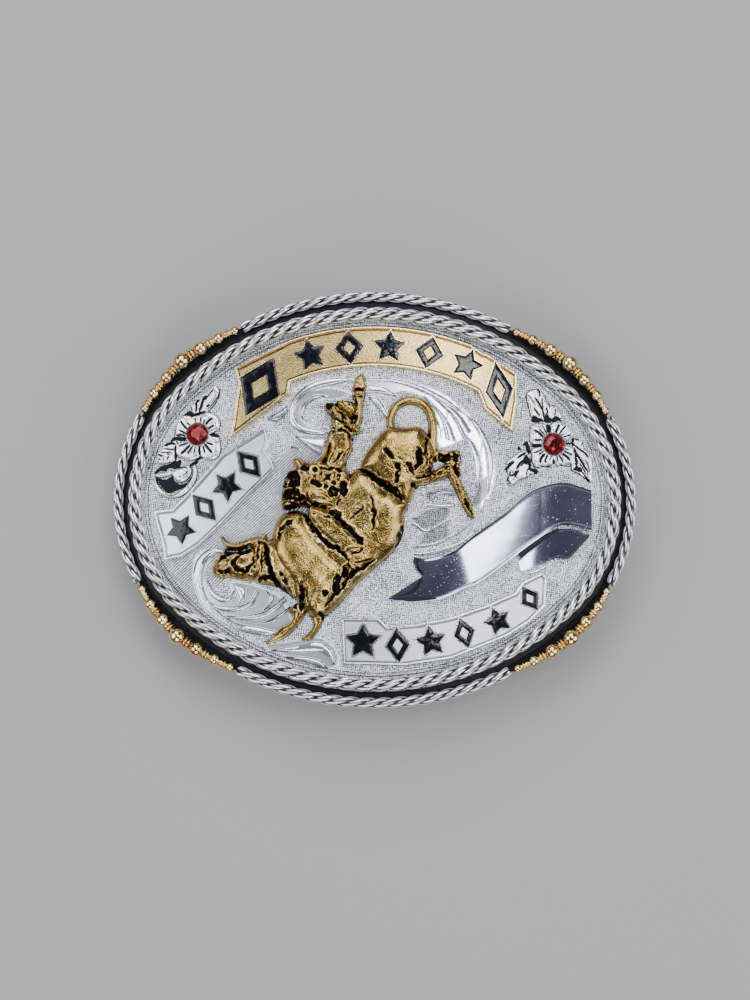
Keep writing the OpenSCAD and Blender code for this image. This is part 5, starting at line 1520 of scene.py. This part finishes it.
# Folds: half width, depth, points.
folds = [
    (0.3, 0.9, [(-3.6, 5.8), (-1.8, 5), (2.4, 2.6), (6.6, -0.3)]),
    (0.3, 0.9, [(-3, 4.7), (0, 3.6), (3.2, 1.5), (6.3, -1.4)]),
    (0.18, 0.5, [(10.6, 9.4), (10.2, 5.6)]),
    (0.18, 0.5, [(11.4, 9.2), (11.2, 5.4)]),
    (0.18, 0.5, [(12.2, 9), (12.2, 6.2)]),
    (0.18, 0.5, [(13, 7.8), (13.1, 6.4)]),
    (0.22, 0.6, [(8.1, 3.9), (10.2, 4.3), (12.4, 4.9), (14.2, 5.7)]),
    (0.18, 0.4, [(9.2, 3.1), (12, 4.1), (14.4, 4.9)]),
    (0.22, 0.45, [(15.8, 4.6), (17, 2.2), (18.2, -0.2)]),
    (0.35, 0.6, [(-0.7, 0.2), (-0.2, -2), (-0.3, -4.5), (-0.5, -6.8)]),
    (0.5, 0.3, [(-1.8, -0.8), (-3.2, -3), (-5.2, -4.8)]),
    (0.4, 0.9, [(-8.3, -3.6), (-5.6, -5.9), (-3.6, -7.9), (-2.2, -9.6)]),
    (0.36, 0.9, [
        (-13.5, 0.8), (-13.4, -2), (-13.5, -4.6), (-10.4, -8.5), (-8, -10.3), (-5.8, -11.9), (-5, -13.4)]),
    (0.2, 0.5, [(-5, -11.9), (-3.4, -11), (-1.9, -10.4)]),
    (0.2, 0.5, [(-4.4, -13.5), (-2, -12.8), (0, -12.2)]),
    (0.28, 0.7, [(-5.6, -15.4), (-2.6, -14.4), (0.2, -12.6)]),
    (0.4, 0.8, [(-9.8, -22.4), (-7.6, -19.8), (-5.2, -16.6), (-2.3, -14.2), (0.2, -12.8)]),
    (0.18, 0.5, [(-10.8, -4), (-9.8, -4.2), (-8.8, -4)]),
    (0.15, 0.4, [(-12.4, -3), (-11.2, -4.4)]),
    (0.15, 0.4, [(-9.5, -6), (-8.4, -6.6)]),
    (0.15, 0.4, [(-8, -8), (-6.8, -8.4)]),
    (0.15, 0.35, [(-6.4, -7.2), (-5.4, -8.8)]),
    (0.15, 0.35, [(-11.2, -6.4), (-9.8, -7.6)]),
    (0.2, 0.5, [(-9.6, -21.9), (-8.6, -20.8), (-7.8, -19.8)]),
    (0.15, 0.4, [(-13.6, -17.8), (-13.2, -20), (-13.4, -22)]),
    (0.12, 0.3, [(-11.4, -20.6), (-11.2, -22.6)]),
    (0.45, 0.9, [(-22.4, -8.6), (-21.8, -10.7), (-21.3, -13.4), (-20.4, -16.2), (-19.4, -17.7)]),
    (0.2, 0.5, [(-23.8, -9.6), (-23.5, -11.5), (-23.8, -14.6)]),
    (0.15, 0.4, [(-24.5, -9.4), (-24.3, -11.2), (-24.2, -12.4)]),
    (0.2, 0.5, [(-22.8, -10.2), (-22.6, -12.6), (-22.9, -15.4)]),
    (0.15, 0.4, [(-22.1, -10), (-22, -12.5), (-22.2, -15)]),
    (0.42, 0.85, [
        (-27.3, -11.9), (-28.1, -12.9), (-28.2, -14), (-27, -14.7), (-25.6, -14.8), (-24.7, -13.9),
        (-24.4, -12.5)]),
    (0.16, 0.5, [(-31.6, -15.7), (-29.8, -15.5), (-27.7, -15.6), (-25.4, -15.8)]),
    (0.14, 0.3, [(-32.3, -14.1), (-31.8, -14.5)]),
    (0.12, 0.3, [(-30.2, -13.3), (-29, -12.6)]),
    (0.2, 0.5, [(-6.2, 9.8), (-7.4, 8.2), (-8.6, 6.8)]),
    (0.2, 0.5, [(-5.2, 9.9), (-6.2, 8.4), (-7.2, 7)]),
    (0.18, 0.45, [(-9.2, 11.6), (-9.3, 10), (-9.6, 8.8)]),
    (0.2, 0.5, [(-5.5, 8), (-6.4, 6.4), (-7, 5.4)]),
    (0.16, 0.4, [(-8.2, 9.6), (-8.8, 8), (-9.4, 7)]),
    (0.15, 0.4, [(-7.4, 10.2), (-7.9, 9)]),
    (0.34, 0.7, [(-9.5, 12.4), (-8.6, 13.4), (-6.9, 13.8), (-5.4, 13.1), (-4.8, 11.4)]),
    (0.25, 0.5, [(-9, 14.2), (-7, 13.9)]),
    (0.24, 0.6, [(-9.6, 17.5), (-8.1, 16.2), (-5.8, 15.1), (-5, 14.4)]),
    (0.24, 0.5, [(-8.2, 17.9), (-6.6, 16.6), (-5.2, 15.4)]),
    (0.2, 0.5, [(-3.4, 18.9), (-4.1, 16.8), (-5, 15.2)]),
    (0.14, 0.4, [(-7.8, 19.6), (-6.4, 19.9), (-5, 19.6)]),
    (0.25, 0.5, [(-3.9, 18.5), (-4.4, 16), (-4.6, 13.8)]),
    (0.2, 0.5, [(-4.4, 20.8), (-2.3, 20.8)]),
    (0.2, 0.5, [(-4.5, 22), (-2.2, 22)]),
    (0.14, 0.3, [(-3.9, 23.9), (-3, 24.3)]),
    (0.14, 0.3, [(-3.6, 22.9), (-2.6, 23.4)]),
    (0.12, 0.25, [(-8.6, 15.9), (-8, 15.9)]),
    (0.12, 0.2, [(-8.4, 14.8), (-7.9, 14.8)]),
    (0.3, 0.6, [(-16.4, 6.8), (-17, 5.5)]),
    (0.25, 0.6, [(-14.4, -0.2), (-12, -1.3), (-10.2, -1.3)]),
    (0.15, 0.4, [(-11.4, 0.6), (-10, 0.2), (-8.6, -0.6)]),
    (0.15, 0.4, [(-9.6, -0.8), (-8, -1.6)]),
    (0.2, 0.5, [(-6.6, -0.4), (-7.8, -2)]),
    (0.2, 0.5, [(-11.6, 6.4), (-9.8, 5.7), (-7.8, 5.9), (-6.2, 5.6)]),
    (0.14, 0.4, [(-11.3, 5.6), (-10.5, 5), (-10.8, 4.2), (-10.5, 3.4)]),
    (0.14, 0.4, [(-10.6, 6), (-9.4, 5.4), (-8.2, 5.7)]),
    (0.14, 0.35, [(-8.6, 5.2), (-8, 4.7), (-8.2, 3.9)]),
    (0.12, 0.35, [(-11.5, 4.1), (-11.1, 3.5), (-10.6, 3)]),
]
# Deep hollows, black as patina and as painted shade: depth, outline.
pits = [
    (0.6, [(1.9, 10), (2.9, 9.2), (3.8, 7.9), (3.3, 7.6), (2.5, 8.2), (1.8, 9.2)]),
    (0.6, [(4.4, 6.9), (5.1, 6.3), (4.9, 5.2), (4.3, 5.6), (4, 6.3)]),
    (0.5, [(4.2, 5), (4.8, 4.9), (4.7, 3.2), (4.3, 3.2)]),
    (0.6, [(8.6, 10.3), (9.2, 9.2), (9.4, 7.6), (8.9, 6.2), (8.2, 5.4), (7.9, 6.4), (8.3, 7.6), (8.4, 9)]),
    (0.5, [(6.6, 7.2), (7.4, 6.2), (8, 4.9), (7.4, 5), (6.6, 6)]),
    (0.5, [(10.4, 12.2), (10.8, 11), (10.3, 8.8), (9.8, 8.6), (9.9, 10.2)]),
    (0.6, [
        (12.8, 9.2), (14.4, 9.1), (16, 9.3), (16.9, 8.6), (16.4, 7.6), (15.3, 7.9), (13.8, 7.4), (13.3, 8)]),
    (0.5, [(16.3, 7), (17.1, 6.9), (17.2, 5), (16.8, 4.4), (16.2, 5.6)]),
    (0.5, [(14.4, 6.6), (15.1, 6.5), (15.1, 5.9), (14.5, 5.8)]),
    (0.5, [(7.6, 3.2), (8.8, 2.6), (8.6, 1.8), (7.8, 1.8), (7.2, 2.4)]),
    (0.5, [(18.3, 0), (18.9, -0.6), (19.7, -3.3), (19.2, -3.2), (18.2, -1.2)]),
    (0.6, [(5.6, -5.6), (5.9, -7.4), (5, -10.2), (4.2, -10.4), (4.6, -8.6), (5, -6.8)]),
    (0.9, [
        (-18.6, 2.3), (-18.3, 3.5), (-17.3, 4.9), (-16.6, 5.5), (-15.5, 4.8), (-15.1, 3.6), (-15.4, 2.4),
        (-16.8, 1.9)]),
    (0.9, [
        (-18.6, 1.3), (-17, 1.2), (-15.3, 1.5), (-14.6, 0.5), (-14.1, -0.5), (-15, -1.1), (-16.2, -0.4),
        (-17.2, -0.6), (-18.6, -0.4)]),
    (0.9, [
        (-18.5, -0.9), (-17.4, -1.2), (-16.2, -0.9), (-15.2, -1.5), (-14.2, -1.4), (-15.4, -2.2),
        (-18.2, -2.2)]),
    (0.8, [(-14.8, 6.4), (-13.7, 6.6), (-13.2, 6), (-13.8, 5.2), (-14.7, 5.3)]),
    (0.5, [(-12.3, 5.6), (-11.7, 5.7), (-11.6, 5), (-12.2, 4.9)]),
    (0.4, [(-12.4, 4.4), (-12, 4.5), (-11.9, 3.9), (-12.3, 3.8)]),
    (0.7, [(-9, 1.5), (-8, 1.7), (-7.2, 1), (-7.8, 0.4), (-9, 0.5)]),
    (0.7, [(-6.7, 2.9), (-5.6, 3), (-5.5, 0.6), (-6.3, 0.3), (-6.8, 1.2)]),
    (0.6, [(-12.6, 3.2), (-11.8, 3.2), (-10.7, 2.6), (-10.4, 2), (-11.4, 2), (-12.3, 2.6)]),
    (0.5, [
        (-10.1, 4.7), (-9.5, 4.2), (-8.9, 4.6), (-9.1, 3.8), (-8.9, 3.1), (-9.5, 3.5), (-10.1, 3.2),
        (-9.8, 3.9)]),
    (0.45, [(-8.6, 3.2), (-8, 3.3), (-7.9, 2.5), (-8.6, 2.4)]),
    (0.4, [(-9.9, 2.6), (-9.5, 2.4), (-9.4, 1.8), (-10, 1.8)]),
    (0.5, [(-7.7, 5.8), (-6.8, 5.9), (-6.5, 5.1), (-7.5, 5)]),
    (0.5, [(-7.5, 4.6), (-6.7, 4.4), (-6.8, 3.3), (-7.3, 3.5)]),
    (0.8, [(-8.3, -2.6), (-7.4, -3), (-6.4, -4), (-7.4, -4.5), (-8.4, -4), (-8.9, -3.4)]),
    (0.8, [(-5.9, -13.9), (-5, -13.6), (-4.8, -15), (-5.8, -16.4), (-6.3, -15.6)]),
    (0.7, [(-7.4, -15.8), (-6.9, -16.4), (-7.2, -18.6), (-7.6, -19.8), (-8.2, -19), (-7.9, -17.4)]),
    (0.6, [(-10.2, -19.2), (-9.3, -19.1), (-9.3, -19.9), (-10.1, -20.4), (-10.5, -19.9)]),
    (0.6, [(-14.9, -17.6), (-14.2, -17.5), (-14, -19.5), (-14.2, -22.8), (-14.7, -22.6), (-14.7, -19.6)]),
    (0.6, [(-18.9, -15.4), (-18.2, -15.6), (-17.2, -17.6), (-17.6, -18), (-18.6, -16.8)]),
    (0.7, [
        (-20.2, -17), (-19.3, -17.2), (-17, -19.8), (-15.3, -22.2), (-15.9, -22.4), (-18.2, -19.8),
        (-20, -17.9)]),
    (0.5, [(-11.4, -23.4), (-10.2, -23.2), (-9.8, -24.2), (-10.4, -25), (-10.9, -24.2)]),
    (0.4, [
        (-16.2, -4.6), (-17.6, -5), (-18.9, -6.2), (-19.4, -8), (-18.9, -8.8), (-18.3, -7.6), (-17.5, -6.2),
        (-16.4, -5.4)]),
    (0.9, [
        (-30.5, -11.1), (-29.9, -10.5), (-28.4, -10.7), (-27, -10.5), (-25.3, -9.5), (-24.9, -10.6),
        (-25, -11.3), (-26.9, -11.6), (-28.4, -11.6), (-29.7, -12)]),
    (0.7, [(-31.5, -12.5), (-31, -12), (-30.3, -11.9), (-29.9, -12.4), (-30.5, -12.9), (-31.2, -13)]),
    (0.6, [(-30.2, -14.9), (-29.5, -14.5), (-29, -15), (-29.3, -15.6), (-30, -15.6)]),
    (0.5, [(-31.5, -14.9), (-30.6, -15), (-30.7, -15.9), (-31.4, -15.8)]),
    (0.4, [(-23.6, -8.8), (-22.2, -8.7), (-22, -9.4), (-23.4, -9.5)]),
    (0.6, [(-23.8, -16.5), (-22.4, -16.1), (-20.6, -16.2), (-20.2, -16.9), (-22, -17), (-23.4, -16.9)]),
    (0.5, [(-9.9, 18.6), (-8.6, 19.5), (-7.8, 18.9), (-8.4, 18.1), (-9.4, 18)]),
    (0.4, [(-5.5, 19.2), (-4.9, 19.1), (-4.9, 18.7), (-5.4, 18.7)]),
]

sheet_x, sheet_y = np.meshgrid(np.arange(-34.5, 22, cell), np.arange(-31, 27, cell))
sheet = raise_forms(sheet_x, sheet_y, body_forms.values())
for first_w, last_w, high, points in rods.values():
    path = smooth_path(points, 8 * len(points))
    part = near_part(sheet_x, sheet_y, path, path_margin)
    gap, share = line_distance(sheet_x[part], sheet_y[part], path)
    wide = first_w + (last_w - first_w) * share
    dome = np.sqrt(np.clip(1 - (gap / wide) ** 2, 0, 1)) * (0.4 + 0.6 * wide / max(first_w, last_w))
    rod = np.where(gap < wide, rod_foot + (high - rod_foot) * dome, rod_foot - (gap - wide) * rod_slope)
    sheet[part] = np.maximum(sheet[part], rod)
on_figure = ramp(sheet, -0.1, 0.4)
for x, y, one, two, degrees, high in muscles:
    a = np.radians(degrees)
    u = (sheet_x - x) * np.cos(a) + (sheet_y - y) * np.sin(a)
    v = (sheet_y - y) * np.cos(a) - (sheet_x - x) * np.sin(a)
    sheet += high * np.exp(-(u / one) ** 2 - (v / two) ** 2) * on_figure
sheet = np.maximum(blur(sheet, soften), below)

# Folds and pits are cut along waved lines, and the metal stands up beside them as a low lip.
random = np.random.default_rng(7)
waved_x = sheet_x + uneven(waver_size, waver_high)
waved_y = sheet_y + uneven(waver_size, waver_high)
cut = np.zeros_like(sheet)
lip = np.zeros_like(sheet)
for wide, deep, points in folds:
    path = smooth_path(points, 8 * len(points))
    part = near_part(sheet_x, sheet_y, path, path_margin)
    gap, share = line_distance(waved_x[part], waved_y[part], path)
    taper = 0.35 + 0.65 * np.sin(np.pi * np.clip(share, 0.02, 0.98)) ** 0.6
    off = gap / (wide * taper)
    cut[part] = np.maximum(cut[part], deep * taper * np.exp(-off ** 2))
    lip[part] = np.maximum(lip[part], fold_lip * deep * taper * np.exp(-4 * (off - 2) ** 2))
for deep, points in pits:
    outline = smooth_path(points, 6 * len(points), closed=True)
    part = near_part(sheet_x, sheet_y, outline, 0.6)
    inside = signed_distance(waved_x[part], waved_y[part], outline)
    cut[part] = np.maximum(cut[part], deep * ramp(inside, -0.15, 0.1))
    beside = np.exp(-((inside + pit_lip_out) / pit_lip_w) ** 2)
    lip[part] = np.maximum(lip[part], pit_lip * deep * beside)
lip *= ramp(cut, 0.5, 0)
in_cut = ramp(cut, 0, 0.45)
sheet += (lip + uneven(coarse_size, coarse_high) + uneven(fine_size, fine_high)) * on_figure
sheet -= cut * ramp(sheet, 0.15, 0.75)
grain = uneven(fine_size, 1) * in_cut
sheet = np.minimum(sheet + 0.04 * grain * ramp(sheet, 0.15, 0.75), figure_high)

# Painted shade at each place: where it lies below what is round it or low beside the plate, and in a
# cut, where it stands for patina too. Grains in the cuts get less of it, as painted light flecks, and the
# lips get a painted highlight.
painted_shade = 0.7 * ramp(blur(sheet, 0.55) - sheet, 0, 0.35) + 0.8 * in_cut + 0.9 * ramp(sheet, 0.55, 0.05)
painted_shade = np.minimum(painted_shade, 1) - 0.6 * ramp(grain, 0.7, 1.7) - 1.4 * lip
figure, depth = sheet_form(sheet_x, sheet_y, sheet, painted_shade)

figure_gold, place = new_finish("figure_gold", {"Metallic": 1.0})
tone = place.tone("depth")
# Black where the depth tone is high: patina in the cuts, and painted shade in the hollows and beside the
# plate.
black = (tone + (place.noise(0.6 * mm, 3) - 0.5)).step(0.3, 0.7)
worn = place.noise(3 * mm, 3).step(0.35, 0.7)
worn_gold = worn.blend((0.30, 0.195, 0.055), (0.55, 0.39, 0.135))
# Pale polished gold where the depth tone is below zero, on the lips and the grains in the cuts: a painted
# highlight.
gold = tone.step(-0.05, -0.3).blend(worn_gold, (0.98, 0.87, 0.56))
feed(
    figure_gold,
    Base_Color=black.blend(gold, (0.007, 0.004, 0.002)),
    Roughness=black * 0.25 + worn * 0.09 + 0.14,
    Normal=(place.noise(1.6 * mm) * 0.2 + place.noise(0.28 * mm) * 0.7).bump(0.09 * mm)
)
make_piece("bull_and_rider_casting", [figure], figure_gold, "figure_gold", ["bull_and_rider"],
           crease=75, depth=depth)

# Setting. A plain pale floor, five soft lamps that leave the space over the face dark for the polished
# metal to reflect, and a camera that looks at the face as steeply as the photograph does.
floor_r = 3.0
floor = add_object("floor", bpy.data.meshes.new("floor"))
corner = floor_r * np.array([[-1, -1], [1, -1], [1, 1], [-1, 1]])
floor.data.from_pydata(np.column_stack([corner, np.zeros(4)]), [], [(0, 1, 2, 3)])
floor_finish, place = new_finish("floor_paper", {"Roughness": 0.9, "Specular IOR Level": 0.2})
feed(floor_finish, Base_Color=place.noise(0.3).blend((0.36, 0.355, 0.345), (0.385, 0.375, 0.36)))
floor.data.materials.append(floor_finish)
floor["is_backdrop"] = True

apex = np.array([0, 0, axis_z + curve_r])


def soft_lamp(name, azimuth, elevation, distance, size, power, colour):
    """A square lamp at a distance from the face's highest point, in a direction in degrees round and above
    it, that faces it. Size and distance are in metres, and the power in watts."""
    a, e = np.radians(azimuth), np.radians(elevation)
    way = np.array([np.cos(a) * np.cos(e), np.sin(a) * np.cos(e), np.sin(e)])
    light = bpy.data.lights.new(name, "AREA")
    light.size = size
    light.energy = power
    light.color = colour
    lamp = add_object(name, light)
    lamp.location = apex + way * distance
    lamp.rotation_euler = Vector(way).to_track_quat("Z", "Y").to_euler()


soft_lamp("window_lamp", 34.5, 72.8, 0.6, 0.155, 0.87, (1.0, 0.99, 0.97))
soft_lamp("upper_lamp", 95, 48, 0.8, 0.55, 4.4, (0.97, 0.98, 1.0))
soft_lamp("left_lamp", 180, 45, 0.8, 0.5, 3.3, (0.93, 0.95, 1.0))
soft_lamp("right_lamp", -5, 38, 0.8, 0.5, 3.2, (0.95, 0.96, 1.0))
soft_lamp("lower_lamp", -88, 42, 0.8, 0.4, 2.7, (0.97, 0.97, 1.0))

world = bpy.data.worlds.new("room")
world.use_nodes = True
world.node_tree.nodes["Background"].inputs["Color"].default_value = (0.50, 0.52, 0.60, 1)
world.node_tree.nodes["Background"].inputs["Strength"].default_value = 0.28
bpy.context.scene.world = world

# The photograph's frame and, in its pixels, the focal length and the place of the face's highest point.
picture_w, picture_h = 750, 1000
focal_length = 1568
apex_across, apex_down = 374, 497.9
tilt = np.radians(5.13)
distance = 320 * mm
roll = 0.0051
camera = add_object("camera", bpy.data.cameras.new("camera"))
camera.data.sensor_width = 36
camera.data.sensor_fit = "AUTO"
camera.data.lens = camera.data.sensor_width * focal_length / picture_h
camera.data.shift_x = (picture_w / 2 - apex_across) / picture_h
camera.data.shift_y = (apex_down - picture_h / 2) / picture_h
camera.location = apex + distance * np.array([0, -np.sin(tilt), np.cos(tilt)])
camera.rotation_euler = (tilt, 0, roll)
bpy.context.scene.camera = camera

low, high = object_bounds()
